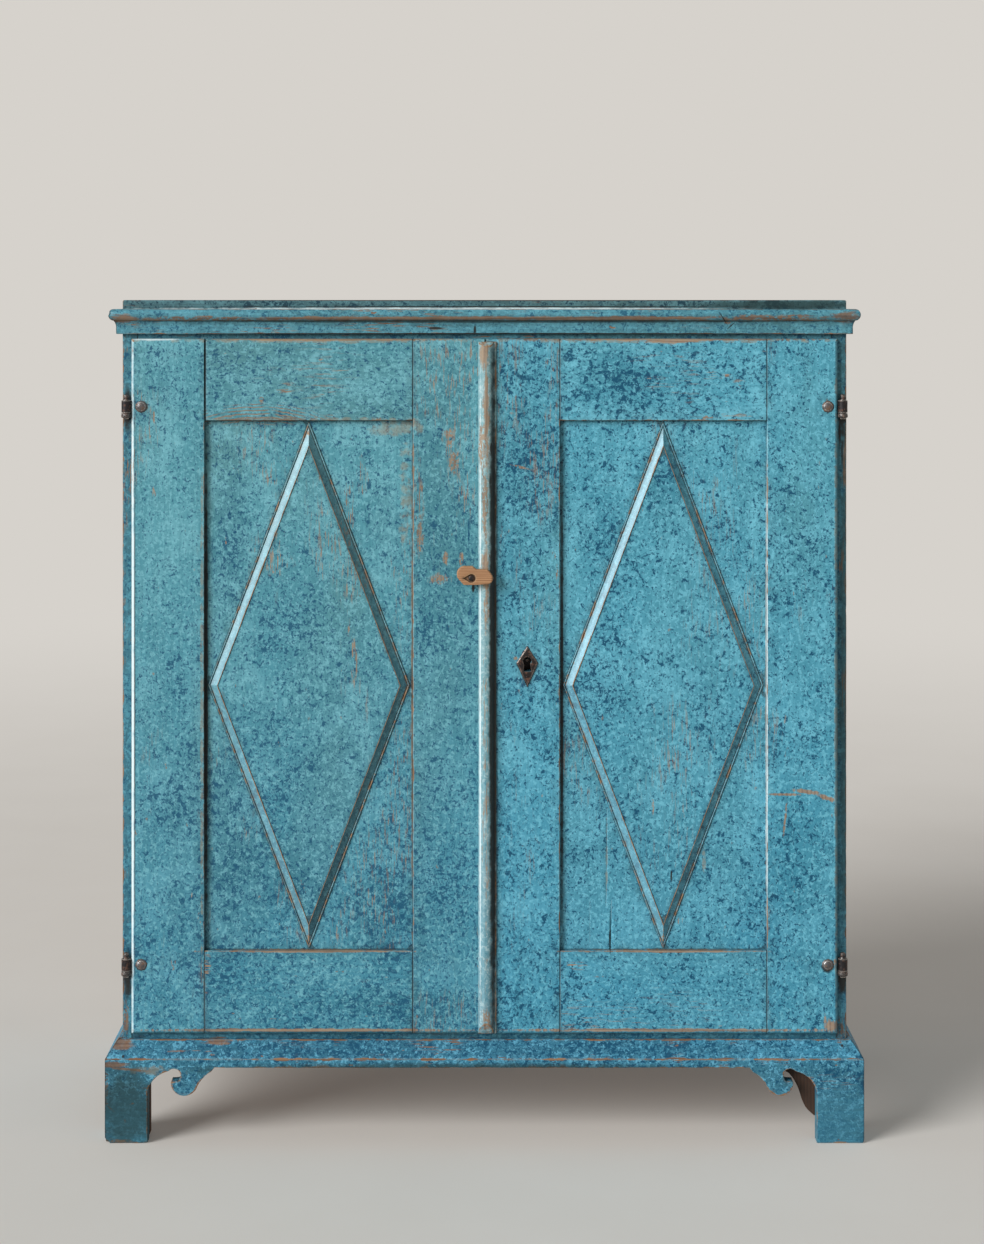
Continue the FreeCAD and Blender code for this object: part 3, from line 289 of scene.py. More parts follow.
@dataclass(frozen=True)
class Spot:
    """A worn place on the front: its middle, half width and half height in millimetres, and its turn."""

    kind: Wear
    x: float
    z: float
    wide: float
    tall: float
    turn: float = 0.0

    FRONT = -222.0
    DEEP = 30.0

    def lies_on(self, low: Vector, high: Vector) -> bool:
        """Whether the spot can show on a piece.

        Args:
            low: The piece's lowest corner.
            high: Its highest corner.

        Returns:
            True where the piece comes to the front and the spot meets it.
        """
        reach_x, reach_z = (self.wide, self.tall) if not self.turn else (max(self.wide, self.tall),) * 2
        return (low.y < (self.FRONT + self.DEEP) * MM
                and low.x - 1.1 * reach_x * MM < self.x * MM < high.x + 1.1 * reach_x * MM
                and low.z - 1.1 * reach_z * MM < self.z * MM < high.z + 1.1 * reach_z * MM)

    def spread(self, bench: Bench, place: bpy.types.NodeSocket) -> bpy.types.NodeSocket:
        """Coordinates that run from -1 to 1 over the spot.

        Args:
            bench: The material in the making.
            place: Plain coordinates.

        Returns:
            The spot's own coordinates.
        """
        values = {
            "Vector": place,
            "Location": Vector((self.x, self.FRONT, self.z)) * MM,
            "Rotation": (0.0, math.radians(self.turn), 0.0),
            "Scale": Vector((self.wide, self.DEEP, self.tall)) * MM,
        }
        return bench.node("ShaderNodeMapping", {"vector_type": "TEXTURE"}, values).outputs[0]

    def mask(self, bench: Bench, place: bpy.types.NodeSocket, ragged: Term) -> Term:
        """Where the spot lies.

        Args:
            bench: The material in the making.
            place: Plain coordinates.
            ragged: Noise that its outline follows.

        Returns:
            1 inside, 0 outside.
        """
        own = self.spread(bench, place)
        reach = Term(bench, bench.node("ShaderNodeVectorMath", {"operation": "LENGTH"}, {0: own}).outputs["Value"])
        swing = 0.8 if self.kind in (Wear.DIRT_AND_SHADOW, Wear.PAINTED_HIGHLIGHT, Wear.DARKENED) else 2.2
        soft = 1 - (reach + (0.5 - ragged) * swing).ramp(0.55, 1.05)
        if self.kind is not Wear.ARCHED:
            return soft
        across, _, up = bench.parts(own)
        arch = (up + across * across * 0.9 + (ragged - 0.5) * 0.5) * 19.0
        return soft * arch.sine().ramp(0.62, 0.95) * ragged.ramp(0.34, 0.48)


def spots_from(rows: dict[Wear, tuple[tuple[float, ...], ...]]) -> tuple[Spot, ...]:
    """Spots from a table of their middles, half widths, half heights and turns."""
    return tuple(Spot(kind, *row) for kind, places in rows.items() for row in places)


def spots_of(spots: Sequence[Spot], kind: Wear, bench: Bench, place: bpy.types.NodeSocket, ragged: Term) -> Value:
    """Where the spots of one kind lie, with outlines that follow the noise, or 0 where there is none."""
    masks = [spot.mask(bench, place, ragged) for spot in spots if spot.kind is kind]
    return reduce(or_, masks) if masks else 0.0


# Colours of age, with those of painted highlight and painted shade
GREASE = paint(44, 30, 22)
CORNER_DIRT = paint(52, 40, 30)
HANDLED_EDGE = paint(205, 172, 130)
# Pale blue for the painted highlight on faces that turn toward the light.
LIT_SIDE_HIGHLIGHT = paint(168, 212, 228)
TAN_HAZE = paint(150, 138, 112)
EDGE_CHALK = paint(160, 172, 164)
# Near-white for painted highlights on edges that catch the light.
HIGHLIGHT_WHITE = paint(224, 238, 240)
# Dark teal for the painted shade on faces that turn away from the light.
SHADED_SIDE_TEAL = paint(18, 58, 68)
# Dark teal for painted shade in some places and darker paint in others.
DARKENED_TEAL = paint(28, 52, 52)
# Dark brown for dirt in joints, painted shade near inner corners and painted shadows.
SHADOW_AND_DIRT_BROWN = paint(30, 27, 22)
LOWER_BLUE = paint(44, 128, 164)
FOOT_GREY = paint(52, 96, 106)
RUST_PIT = paint(24, 18, 16)
IRON_DIRT = paint(18, 14, 12)


# Finishes
@dataclass(frozen=True)
class Pine:
    """Bare pine: growth rings in long bands, fine fibres and stains of age."""

    pale: Colour
    ring: Colour
    stain: Colour
    ring_width: float = 6.5 * MM
    polish: float = 0.0
    spots: tuple[Spot, ...] = ()

    def layers(self, bench: Bench) -> tuple[bpy.types.NodeSocket, Term, Term]:
        """The wood as it lies under any finish.

        Args:
            bench: The material in the making.

        Returns:
            The colour, the late wood's mask and the fibres' mask.
        """
        grain = bench.attribute("grain")
        across, depth, _ = bench.parts(grain)
        sway = bench.drawn(grain, 0.11, 6.0, 2.0, 0.5)
        turn = (across + depth * 0.6 + (sway - 0.5) * 0.14) * (math.tau / self.ring_width)
        late = turn.sine() ** 3
        fibre = bench.drawn(grain, 0.02, 700.0, 3.0, 0.65)
        age = bench.cloud(grain, 5.0, 4.0, 0.6)
        colour = bench.blend(late * 0.7 + fibre.ramp(0.42, 0.68) * 0.35, self.pale, self.ring)
        colour = bench.blend(age.ramp(0.42, 0.72) * 0.55, colour, self.stain)
        return colour, late, fibre

    def material(self, name: str) -> bpy.types.Material:
        """Bare wood with dirt in its corners and hand-worn arrises.

        Args:
            name: The material's name.

        Returns:
            The material.
        """
        bench = Bench(bpy.data.materials.new(name))
        colour, late, fibre = self.layers(bench)
        place = bench.place()
        gap, hollow, _ = bench.parts(bench.attribute("wear"))
        patch = bench.cloud(place, 45.0, 3.0, 0.6)
        dirt = 1 - hollow.ramp(0.0, patch * 9 * MM)
        worn = 1 - gap.ramp(0.0, patch * 5 * MM)
        colour = bench.blend(tone_share(bench, 0.35), colour, self.stain)
        colour = bench.blend(worn * 0.45, colour, HANDLED_EDGE)
        colour = bench.blend(dirt * 0.75, colour, CORNER_DIRT)
        colour = bench.blend(spots_of(self.spots, Wear.DIRT_AND_SHADOW, bench, place, patch), colour, GREASE)
        height = (1 - late) * 0.5 + fibre * 0.5
        return bench.surface({
            "Base Color": colour,
            "Roughness": 0.62 - self.polish + fibre * 0.25 + dirt * 0.1,
            "Normal": bench.relief(height, 0.45),
        })


def tone_share(bench: Bench, most: float) -> Term:
    """How far one board's colour leans, the same all over that board."""
    return Term(bench, bench.attribute("tone", "Fac")) * most


DARK_EDGE_PINE = Pine(paint(146, 112, 82), paint(106, 74, 52), paint(80, 56, 40))
OLD_PINE = Pine(paint(196, 160, 112), paint(150, 106, 66), paint(112, 82, 56))
EDGE_PINE = Pine(paint(166, 136, 106), paint(126, 94, 68), paint(100, 78, 60))
# Pine darkened as painted shade, for the foot blocks and the brace in the plinth's shadow.
SHADED_PINE = Pine(paint(86, 58, 40), paint(56, 36, 24), paint(34, 22, 16))
WELL = Spot(Wear.DIRT_AND_SHADOW, -18.4, 818.5, 7.0, 6.6)
HANDLED_PINE = Pine(paint(190, 146, 106), paint(136, 90, 56), paint(112, 76, 50), 3.6 * MM, 0.18, (WELL,))


@dataclass(frozen=True)
class SpongedPaint:
    """Old oil paint: a mottled ground with darker sponged dabs, rubbed through to the pine along its arrises."""

    ground: Colour
    pale: Colour
    deep: Colour
    grey: Colour
    dim: Colour
    dabs: float = 1.0
    rubs: float = 1.0
    edge: float = 1.6 * MM
    polish: float = 0.0
    press: float = 0.0
    fine: float = 1.0
    climb: float = 0.0
    shaded_side: float = 0.0
    wood: Pine = EDGE_PINE
    spots: tuple[Spot, ...] = ()

    def dabbing(self, bench: Bench, flat: bpy.types.NodeSocket, place: bpy.types.NodeSocket,
                more: Value, rise: Term) -> tuple[Term, Term]:
        """The marks of the sponge.

        Args:
            bench: The material in the making.
            flat: Coordinates drawn out a little along the grain.
            place: Plain coordinates.
            more: Where the sponge pressed harder.
            rise: The height above the floor.

        Returns:
            Where the dark marks and the pale flecks lie.
        """
        cluster = bench.cloud(place, 17.0, 3.0, 0.65, 0.8)
        patch = bench.cloud(place, 5.0, 2.0, 0.55)
        crowd = (cluster - 0.5) * 0.18 + (patch - 0.5) * 0.12 + more * 0.02 + (0.6 - rise) * self.climb + self.press
        fine = bench.cloud(flat, 280.0 * self.fine, 2.0, 0.6, 0.4)
        mixed = bench.cloud(flat, 108.0 * self.fine, 5.0, 0.75, 0.5) * 0.8 + fine * 0.2
        loops = bench.cloud(flat, 96.0 * self.fine, 2.0, 0.6, 0.3)
        curl = (1 - (loops - 0.5).size().ramp(0.005, 0.014)) * crowd.ramp(-0.01, 0.03)
        speck = (fine + crowd * 0.6).ramp(0.585, 0.61)
        blot = (mixed + crowd).ramp(0.552, 0.578)
        shade = mixed.ramp(0.46, 0.60) * crowd.ramp(-0.05, 0.05) * 0.36
        fleck = (bench.cloud(flat, 190.0, 2.0, 0.6, 0.6) - crowd * 0.4).ramp(0.50, 0.62)
        calm = rise.ramp(50 * MM, 92 * MM) * 0.55 + 0.45
        return (curl * 0.55 | speck * 0.75 | blot | shade) * calm * self.dabs, fleck * calm * 0.5

    def bareness(self, bench: Bench, place: bpy.types.NodeSocket, gap: Term) -> tuple[Term, Term]:
        """Where the paint has gone.

        Args:
            bench: The material in the making.
            place: Plain coordinates.
            gap: How far the nearest open arris is.

        Returns:
            The worn arrises, and the rubbed streaks and flecks.
        """
        grain = bench.attribute("grain")
        patchy = bench.cloud(place, 38.0, 3.0, 0.6)
        streak = bench.drawn(grain, 0.08, 430.0, 3.0, 0.65)
        ragged = bench.drawn(grain, 0.3, 150.0, 4.0, 0.7)
        reach = (patchy.ramp(0.40, 0.66) * 1.3 + 0.15) * self.edge
        arris = (1 - gap.ramp(reach * 0.6, reach)) * streak.ramp(0.36, 0.50)
        broad = bench.drawn(grain, 0.35, 9.0)
        along = streak.ramp(0.55, 0.62) * broad.ramp(0.54, 0.66)
        fleck = bench.drawn(grain, 0.35, 105.0).ramp(0.70, 0.74)
        near = (1 - gap.ramp(2 * MM, 14 * MM)) * streak.ramp(0.54, 0.64) * patchy.ramp(0.54, 0.70)
        broken = bench.drawn(grain, 0.5, 330.0, 3.0, 0.7).ramp(0.43, 0.50)
        rubbed, streaked, scraped = (
            spots_of(self.spots, kind, bench, place, ragged) for kind in (Wear.RUBBED, Wear.STREAKED, Wear.SCRAPED))
        arched = spots_of(self.spots, Wear.ARCHED, bench, place, patchy)
        placed = rubbed * broken | streaked * streak.ramp(0.52, 0.60) | arched | scraped
        return arris, ((along | fleck | near * 0.7) * self.rubs | placed) * 0.85

    def material(self, name: str) -> bpy.types.Material:
        """The paint over its pine.

        Args:
            name: The material's name.

        Returns:
            The material.
        """
        bench = Bench(bpy.data.materials.new(name))
        wood, late, fibre = self.wood.layers(bench)
        place = bench.place()
        grain = bench.attribute("grain")
        gap, hollow, coat = bench.parts(bench.attribute("wear"))
        _, _, rise = bench.parts(place)
        flat = bench.stretch(grain, (1, 1, 0.9))
        soft = bench.cloud(place, 60.0, 3.0, 0.65)

        def spotted(kind: Wear) -> Value:
            """Where the spots of one kind lie."""
            return spots_of(self.spots, kind, bench, place, soft)

        more = spotted(Wear.DABBED)
        light_side = Term(bench, bench.attribute("light_side", "Fac"))
        dark, fleck = self.dabbing(bench, flat, place, more, rise)
        dark = dark * (1 - light_side * min(1.0, self.polish * 0.8))
        broken = bench.cloud(place, 300.0, 3.0, 0.7).ramp(0.40, 0.52)
        dark = dark | spotted(Wear.INKED) * (broken * 0.6 + 0.4)
        arris, rubbed = self.bareness(bench, place, gap)
        colour = self.ground_coat(bench, grain, flat, rise)
        if isinstance(more, Term):
            colour = bench.blend(more * 0.34, colour, self.dim)
        colour = bench.blend(fleck, colour, self.pale)
        colour = bench.blend(dark, colour, self.deep)
        # Painted highlight: faces that turn left, toward the window light, are blended toward pale blue, the more the
        # glossier the finish.
        lit = light_side.ramp(0.6, 0.9) * self.polish
        colour = bench.blend(lit * 0.5, colour, LIT_SIDE_HIGHLIGHT)
        hazy = spotted(Wear.HAZY)
        colour = bench.blend(hazy * soft.ramp(0.35, 0.6) * 0.5, colour, TAN_HAZE)
        chalk = 1 - gap.ramp(soft.ramp(0.35, 0.6) * 1.2 * MM + 0.5 * MM, soft.ramp(0.35, 0.6) * 1.7 * MM + 1.0 * MM)
        colour = bench.blend(chalk * coat * 0.16, colour, EDGE_CHALK)
        # Painted highlight: pale spots along the edges that catch the light most, such as the left door's left lip,
        # the cornice's torus and the strip's left flank.
        highlight_spots = spotted(Wear.PAINTED_HIGHLIGHT)
        colour = bench.blend(highlight_spots * (soft.ramp(0.2, 0.5) * 0.3 + 0.55), colour, HIGHLIGHT_WHITE)
        bare = arris | rubbed | (1 - coat)
        colour = bench.blend(bare, colour, wood)
        # Noise that varies the dirt and the painted shade near inner corners.
        soot = bench.cloud(place, 70.0, 3.0, 0.6)
        dirt = 1 - hollow.ramp(0.4 * MM, (soot.ramp(0.3, 0.7) * 2.6 + 1.0) * MM)
        # Painted shade with some dirt: darker within 15 mm of inner corners and joints, in patches.
        haze = (1 - hollow.ramp(0.0, 15 * MM)) * soot.ramp(0.35, 0.7) * 0.32
        # Dark spots: dirt in most, painted shadow in some, such as the stiles' shadows along the panels' left edges
        # and the strip's shaded flank.
        shadowed_and_dirty = spotted(Wear.DIRT_AND_SHADOW)
        # Painted shade: faces that turn right, away from the window light, are blended toward dark teal.
        shade = light_side.ramp(0.05, 0.3) * (1 - light_side.ramp(0.45, 0.8)) * self.shaded_side
        colour = bench.blend(shade, colour, SHADED_SIDE_TEAL)
        # Darker places: painted shade at the top of the cove under the torus, the door lip's painted shadow on the
        # case's right edge, and darker paint elsewhere.
        darkening = spotted(Wear.DARKENED)
        colour = bench.blend(darkening * 0.74, colour, DARKENED_TEAL)
        # Dark brown under the coat: dirt in the joints, the painted shade near inner corners, and the dark spots.
        colour = bench.blend((dirt * 0.6 | haze | shadowed_and_dirty * 0.95) * coat, colour, SHADOW_AND_DIRT_BROWN)
        height = (1 - bare) * 0.5 + dark * 0.14 + (1 - late) * 0.12 + fibre * 0.2 + soft * 0.25
        return bench.surface({
            "Base Color": colour,
            "Roughness": 0.46 + fibre * 0.14 + bare * 0.2 + dirt * 0.2,
            "Specular IOR Level": 0.28,
            "Coat Weight": light_side * self.polish * (1 - bare.ramp(0.0, 1.0)),
            "Coat Roughness": 0.3,
            "Normal": bench.relief(height, 0.35),
        })

    def ground_coat(self, bench: Bench, grain: bpy.types.NodeSocket, flat: bpy.types.NodeSocket,
                    rise: Term) -> bpy.types.NodeSocket:
        """The brushed ground under the dabs, greyer in places and bluer towards the floor.

        Args:
            bench: The material in the making.
            grain: Coordinates of the board.
            flat: The same, drawn out a little.
            rise: The height above the floor.

        Returns:
            The colour.
        """
        broad = bench.drawn(grain, 0.4, 4.2)
        middle = bench.cloud(flat, 19.0, 4.0, 0.65)
        brushed = bench.drawn(grain, 0.05, 260.0)
        colour = bench.blend(broad.ramp(0.42, 0.66) * 0.7, self.ground, self.grey)
        colour = bench.blend(middle.ramp(0.44, 0.66) * 0.55, colour, self.pale)
        colour = bench.blend((1 - rise.ramp(0.15, 1.0)) * 0.45, colour, LOWER_BLUE)
        colour = bench.blend(brushed.ramp(0.40, 0.62) * 0.28, colour, self.dim)
        colour = bench.blend(tone_share(bench, 0.25), colour, self.dim)
        low = 1 - rise.ramp(106 * MM, 128 * MM)
        return bench.blend(low * 0.42, colour, FOOT_GREY)


# Spots of wear: x from the middle of the cabinet, z from the floor, half width, half height and turn
LEFT_SPOTS = spots_from({
    Wear.INKED: ((-22.8, 871, 1.8, 30), (-64, 1031, 7, 3, 20), (-370, 905, 3, 7), (-362, 882, 4, 4)),
    # Painted highlights on the left door's left lip and top lip.
    Wear.PAINTED_HIGHLIGHT: ((-511.5, 660, 4.6, 600), (-476, 1163, 42, 3.4)),
    Wear.DIRT_AND_SHADOW: (
        # The first is the hinge stile's painted shadow along the panel's left edge, over its dark joint.
        (-404.6, 653, 3.6, 460), (-405.6, 1106, 1.5, 74), (-507, 660, 0.8, 540), (-16.5, 802, 2.4, 8),
        (-497, 1063.6, 10.6, 10.6),
    ),
    Wear.HAZY: (
        (-410, 653, 2.2, 390), (-250, 1046.5, 160, 2.6), (-260, 1160.5, 270, 4), (-128, 1034, 40, 14),
        (-114, 950, 10, 90),
    ),
    Wear.SCRAPED: ((-105, 653, 1.6, 390), (-250, 274.4, 156, 2), (-216, 1162.5, 212, 3.6), (-260, 160.3, 270, 2.8)),
    Wear.ARCHED: ((-330, 1053, 86, 15),),
    Wear.RUBBED: (
        (-323.5, 1074, 4.5, 6), (-479.4, 1050, 2, 11), (-52, 1026, 9, 9), (-50, 1010, 6, 7), (-45, 984, 9, 20),
        (-94, 876, 6, 32), (-56, 845, 5, 11), (-34, 845, 4, 10), (-66, 815, 17, 8),
    ),
    Wear.STREAKED: (
        (-290, 1092, 20, 8), (-499, 1077, 4, 14), (-96, 930, 9, 60), (-178, 962, 9, 34), (-196, 916, 8, 52),
        (-300, 840, 26, 20), (-234, 840, 12, 26), (-190, 690, 6, 44), (-405, 250, 8, 30),
    ),
    Wear.DABBED: (
        (-370, 880, 36, 130), (-150, 900, 40, 60), (-330, 380, 90, 90), (-150, 330, 70, 70), (-60, 860, 50, 330),
        (-120, 196, 150, 26),
    ),
})
RIGHT_SPOTS = spots_from({
    Wear.INKED: (
        (154, 1127, 3.4, 4), (150, 1079, 4.6, 6), (122, 1061, 6, 4, -12), (195, 1058, 5.4, 4),
        (236, 1109, 4.6, 4.6), (222, 1092, 4.4, 5.4), (178, 1110, 5, 7.6), (120, 1134, 9, 5), (258, 963, 15, 2.6),
        (242, 918, 8, 5, -20), (317, 955, 7, 3.4, 20), (61, 1106, 5.4, 4), (45, 1060, 9, 4, 16),
    ),
    Wear.HAZY: ((260, 1160.5, 260, 4), (510, 660, 3, 520), (177.5, 420, 2, 70), (319, 402, 3, 24)),
    Wear.SCRAPED: (
        (260, 1162.5, 256, 3.6), (260, 160.3, 256, 2.8), (260, 274.4, 150, 1.8), (272, 1160, 44, 5),
        (434, 502, 26, 2, 1), (468, 506, 21, 3.6, 8), (496, 497, 16, 4, 20), (504, 166, 9, 11),
    ),
    # Painted highlight on the inner edge of the right door's hinge stile, which faces the light.
    Wear.PAINTED_HIGHLIGHT: ((409.5, 653, 1.6, 400),),
    # The first is the meeting stile's painted shadow along the panel's left edge, over its dark joint.
    Wear.DIRT_AND_SHADOW: ((112.5, 653, 2.6, 440), (271, 384, 1.6, 9), (182.4, 290, 1.6, 22), (497, 252, 10.6, 10.6)),
    Wear.RUBBED: (
        (51, 977, 18, 2, 14), (90, 1129, 2, 5), (99, 1118, 2, 4), (40, 1055, 4, 2), (105, 825, 2, 12),
        (45, 699, 3.6, 4), (350, 1109.5, 6, 2.4), (322, 1049, 9, 3.2), (395, 509, 4.6, 3.6), (436, 468, 1.8, 26, 6),
        (244.5, 482, 1.8, 12), (494, 173, 2, 11), (505, 258, 7, 5, -30),
    ),
    Wear.STREAKED: ((97, 845, 8, 9), (368, 1101, 10, 3), (366, 1051, 26, 4), (134, 255, 15, 8), (285, 316, 6, 8)),
    Wear.DABBED: (
        (205, 1100, 130, 56), (62, 980, 56, 260), (170, 900, 50, 100), (460, 410, 50, 110), (260, 960, 60, 50),
    ),
})
CASE_SPOTS = spots_from({
    Wear.SCRAPED: (
        (-524, 1193, 24, 7), (-130, 1192.5, 260, 3.6), (160, 1192.5, 260, 3.6), (520, 1195, 26, 8),
        (-528, 141, 22, 9), (-388, 143, 22, 5), (-540, 114, 30, 7), (-514, 107, 40, 2.6, 5), (511, 1034, 2.2, 14),
        (523, 984, 2.4, 40),
    ),
    Wear.RUBBED: (
        (-400, 1192, 130, 4), (420, 1193, 110, 5), (352, 1187, 6, 4, 30), (-540, 50, 13, 1.5, 42),
        (-520, 32, 3.6, 3.6), (-547, 80, 4, 30), (-530, 3, 24, 4), (-521, 175, 5, 30), (526, 980, 2.2, 160),
        (526, 600, 1.8, 240), (512, 600, 1.6, 420), (516, 160, 8, 22),
    ),
    # Painted highlight along the top of the cornice's torus.
    Wear.PAINTED_HIGHLIGHT: ((-60, 1206.6, 520, 1.8),),
    Wear.DIRT_AND_SHADOW: (
        # The third is painted shadow under the cornice.
        (0, 1218.6, 560, 1.4), (0, 1209.4, 560, 1), (0, 1170.2, 560, 1.4), (-70, 1178, 14, 2.4),
        (-14, 1176, 2.4, 7), (346, 1192, 0.9, 13, -34), (358, 1182, 0.8, 9, 48), (-522.7, 125, 2.6, 2.6),
        (518.4, 138, 2.4, 2.4), (-519, 1060, 8, 44), (-519, 240, 8, 50), (520, 1050, 8, 40), (516.5, 1030, 3.2, 26),
        (520, 996, 1.6, 26), (520, 235, 8, 40),
    ),
    Wear.STREAKED: ((-505, 1183, 12, 6), (-84, 1178, 26, 10), (-430, 131, 40, 2)),
    Wear.DARKENED: (
        # Painted shade at the top of the cove (1188) and the door lip's painted shadow on the case's right edge (524);
        # the others darken the right end of the top board, the left foot and the apron's lower edge.
        (0, 1188, 560, 2.4), (430, 1212, 160, 9), (-520, 48, 60, 80), (-30, 106, 480, 13), (524, 655, 10, 600),
    ),
    Wear.HAZY: ((-470, 104, 40, 8),),
    Wear.DABBED: ((0, 134, 540, 16),),
})
STRIP_SPOTS = spots_from({
    # The first is painted shade on the strip's right flank, which turns away from the light.
    Wear.DIRT_AND_SHADOW: ((12.4, 655, 7.4, 640), (8, 957, 1.4, 17), (10, 1005, 3, 14)),
    # Painted highlight along the strip's left flank.
    Wear.PAINTED_HIGHLIGHT: ((-6.2, 655, 1.4, 560),),
    Wear.SCRAPED: ((0, 1142, 8, 30), (2.6, 1060, 4, 100), (1, 824, 7, 36)),
    Wear.RUBBED: ((2, 1030, 7, 90), (1, 930, 6, 90), (-6, 1010, 3, 40), (3, 770, 5, 40), (2, 178, 8, 20)),
    Wear.STREAKED: ((2, 500, 6, 260),),
})


@dataclass(frozen=True)
class WroughtIron:
    """Hammered iron, blackened, with brown rust and rubbed high spots."""

    black: Colour
    rust: Colour
    bright: Colour

    def material(self, name: str) -> bpy.types.Material:
        """The iron.

        Args:
            name: The material's name.

        Returns:
            The material.
        """
        bench = Bench(bpy.data.materials.new(name))
        place = bench.place()
        gap, hollow, _ = bench.parts(bench.attribute("wear"))
        mottle = bench.cloud(place, 190.0, 4.0, 0.65)
        pits = bench.cloud(place, 700.0, 3.0, 0.6)
        rust = mottle.ramp(0.50, 0.64)
        rubbed = (1 - gap.ramp(0.0, 1.7 * MM)) * pits.ramp(0.36, 0.56)
        colour = bench.blend(rust, self.black, self.rust)
        colour = bench.blend(pits.ramp(0.55, 0.75) * 0.5, colour, RUST_PIT)
        colour = bench.blend(rubbed * 0.7, colour, self.bright)
        dirt = 1 - hollow.ramp(0.0, 1.5 * MM)
        colour = bench.blend(dirt * 0.7, colour, IRON_DIRT)
        return bench.surface({
            "Base Color": colour,
            "Metallic": 0.75 - rust * 0.6,
            "Roughness": 0.32 + rust * 0.35 + pits * 0.12,
            "Normal": bench.relief(mottle * 0.7 + pits * 0.4, 0.6),
        })


class Finish(Enum):
    """Every finish on the cabinet, under the name that its material gets."""

    CASE = "case_blue"
    TOP = "top_blue"
    CORNICE = "cornice_blue"
    BASE = "base_blue"
    LEFT = "left_door_blue"
    RIGHT = "right_door_blue"
    STRIP = "strip_blue"
    PINE = "old_pine"
    BUTTON = "handled_pine"
    # Pine darkened as painted shade.
    BRACE = "sooty_pine"
    IRON = "wrought_iron_black"
    HINGE = "wrought_iron_rubbed"
    RIVET = "wrought_iron_worn"

    def recipe(self) -> Union[SpongedPaint, Pine, WroughtIron]:
        """The layers that the finish is made from.

        Returns:
            Paint, pine or iron with its colours.
        """
        deep = paint(4, 74, 104)
        weathered = partial(SpongedPaint, wood=DARK_EDGE_PINE, spots=CASE_SPOTS)
        return {
            Finish.CASE: weathered(
                paint(70, 126, 142), paint(94, 164, 182), deep, paint(66, 108, 112), paint(34, 72, 80),
                dabs=0.9, rubs=1.4, edge=2.4 * MM),
            Finish.TOP: weathered(
                paint(78, 120, 128), paint(96, 142, 150), paint(14, 56, 72), paint(70, 96, 94), paint(22, 38, 38),
                dabs=0.95, rubs=1.6, press=0.01),
            Finish.CORNICE: weathered(
                paint(80, 142, 158), paint(104, 174, 192), deep, paint(70, 116, 120), paint(38, 78, 84),
                dabs=0.8, rubs=1.2, polish=0.3, fine=1.2),
            Finish.BASE: weathered(
                paint(74, 146, 172), paint(118, 196, 226), deep, paint(58, 112, 126), paint(30, 72, 88),
                rubs=1.4, edge=2.2 * MM, press=0.012, fine=1.4),
            Finish.LEFT: SpongedPaint(
                paint(88, 156, 170), paint(128, 194, 206), paint(10, 76, 108), paint(92, 140, 142),
                paint(42, 106, 122), dabs=0.88, rubs=0.8, polish=0.6, fine=1.15, climb=0.035, shaded_side=0.55,
                spots=LEFT_SPOTS),
            Finish.RIGHT: SpongedPaint(
                paint(84, 162, 184), paint(122, 200, 220), deep, paint(88, 150, 160), paint(44, 120, 142),
                dabs=0.97, rubs=0.6, polish=0.6, press=-0.008, fine=1.1, shaded_side=0.34, spots=RIGHT_SPOTS),
            Finish.STRIP: SpongedPaint(
                paint(132, 178, 184), paint(186, 208, 208), paint(50, 118, 136), paint(130, 160, 158),
                paint(80, 120, 126), dabs=0.5, edge=2.0 * MM, polish=0.2, spots=STRIP_SPOTS),
            Finish.PINE: OLD_PINE,
            Finish.BUTTON: HANDLED_PINE,
            Finish.BRACE: SHADED_PINE,
            Finish.IRON: WroughtIron(paint(50, 46, 46), paint(88, 58, 44), paint(120, 110, 104)),
            Finish.HINGE: WroughtIron(paint(48, 46, 48), paint(86, 60, 48), paint(204, 198, 190)),
            Finish.RIVET: WroughtIron(paint(96, 96, 98), paint(112, 88, 72), paint(214, 210, 204)),
        }[self]

    def material(self, node: str = "") -> bpy.types.Material:
        """The material, made once for each piece with spots of its own and once for all the others.

        Args:
            node: The piece that it is for.

        Returns:
            The material.
        """
        recipe, name = self.recipe(), self.value
        if node and not isinstance(recipe, WroughtIron):
            spots = tuple(spot for spot in recipe.spots if spot.lies_on(*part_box(node)))
            recipe = replace(recipe, spots=spots)
            name = f"{self.value}_{node}" if spots else name
            LOG.info("%s: %d spots", name, len(spots))
        return bpy.data.materials.get(name) or recipe.material(name)


def settle(mesh: bmesh.types.BMesh, name: str, node: str, material: bpy.types.Material, smooth: bool = True,
           wear: Sequence[float] = ()) -> bpy.types.Object:
    """Turn a worked mesh into a piece that moves with a node's body.

    Args:
        mesh: The mesh, which is used up.
        name: The piece's name.
        node: The node whose body it rides.
        material: What it is made of.
        smooth: Whether its faces are shaded smooth.
        wear: What every point says of its arrises and its coat, where they all say the same.

    Returns:
        The piece.
    """
    data = bpy.data.meshes.new(name)
    mesh.to_mesh(data)
    mesh.free()
    if wear:
        data.attributes.new("wear", "FLOAT_VECTOR", "POINT").data.foreach_set("vector", wear * len(data.vertices))
    data.polygons.foreach_set("use_smooth", [smooth] * len(data.polygons))
    data.materials.clear()
    data.materials.append(material)
    piece = bpy.data.objects.new(name, data)
    bpy.context.scene.collection.objects.link(piece)
    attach(piece, frame["nodes"][node]["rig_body"])
    return piece


def band(mesh: bmesh.types.BMesh, low: Sequence[bmesh.types.BMVert], high: Sequence[bmesh.types.BMVert]) -> None:
    """Join two rings of points with faces, where one ring may be a single point all round.

    Args:
        mesh: The mesh in work.
        low: The ring that the faces start from.
        high: The ring that they end on.
    """
    for index in range(len(low)):
        after = (index + 1) % len(low)
        mesh.faces.new(tuple(dict.fromkeys((low[index], low[after], high[after], high[index]))))


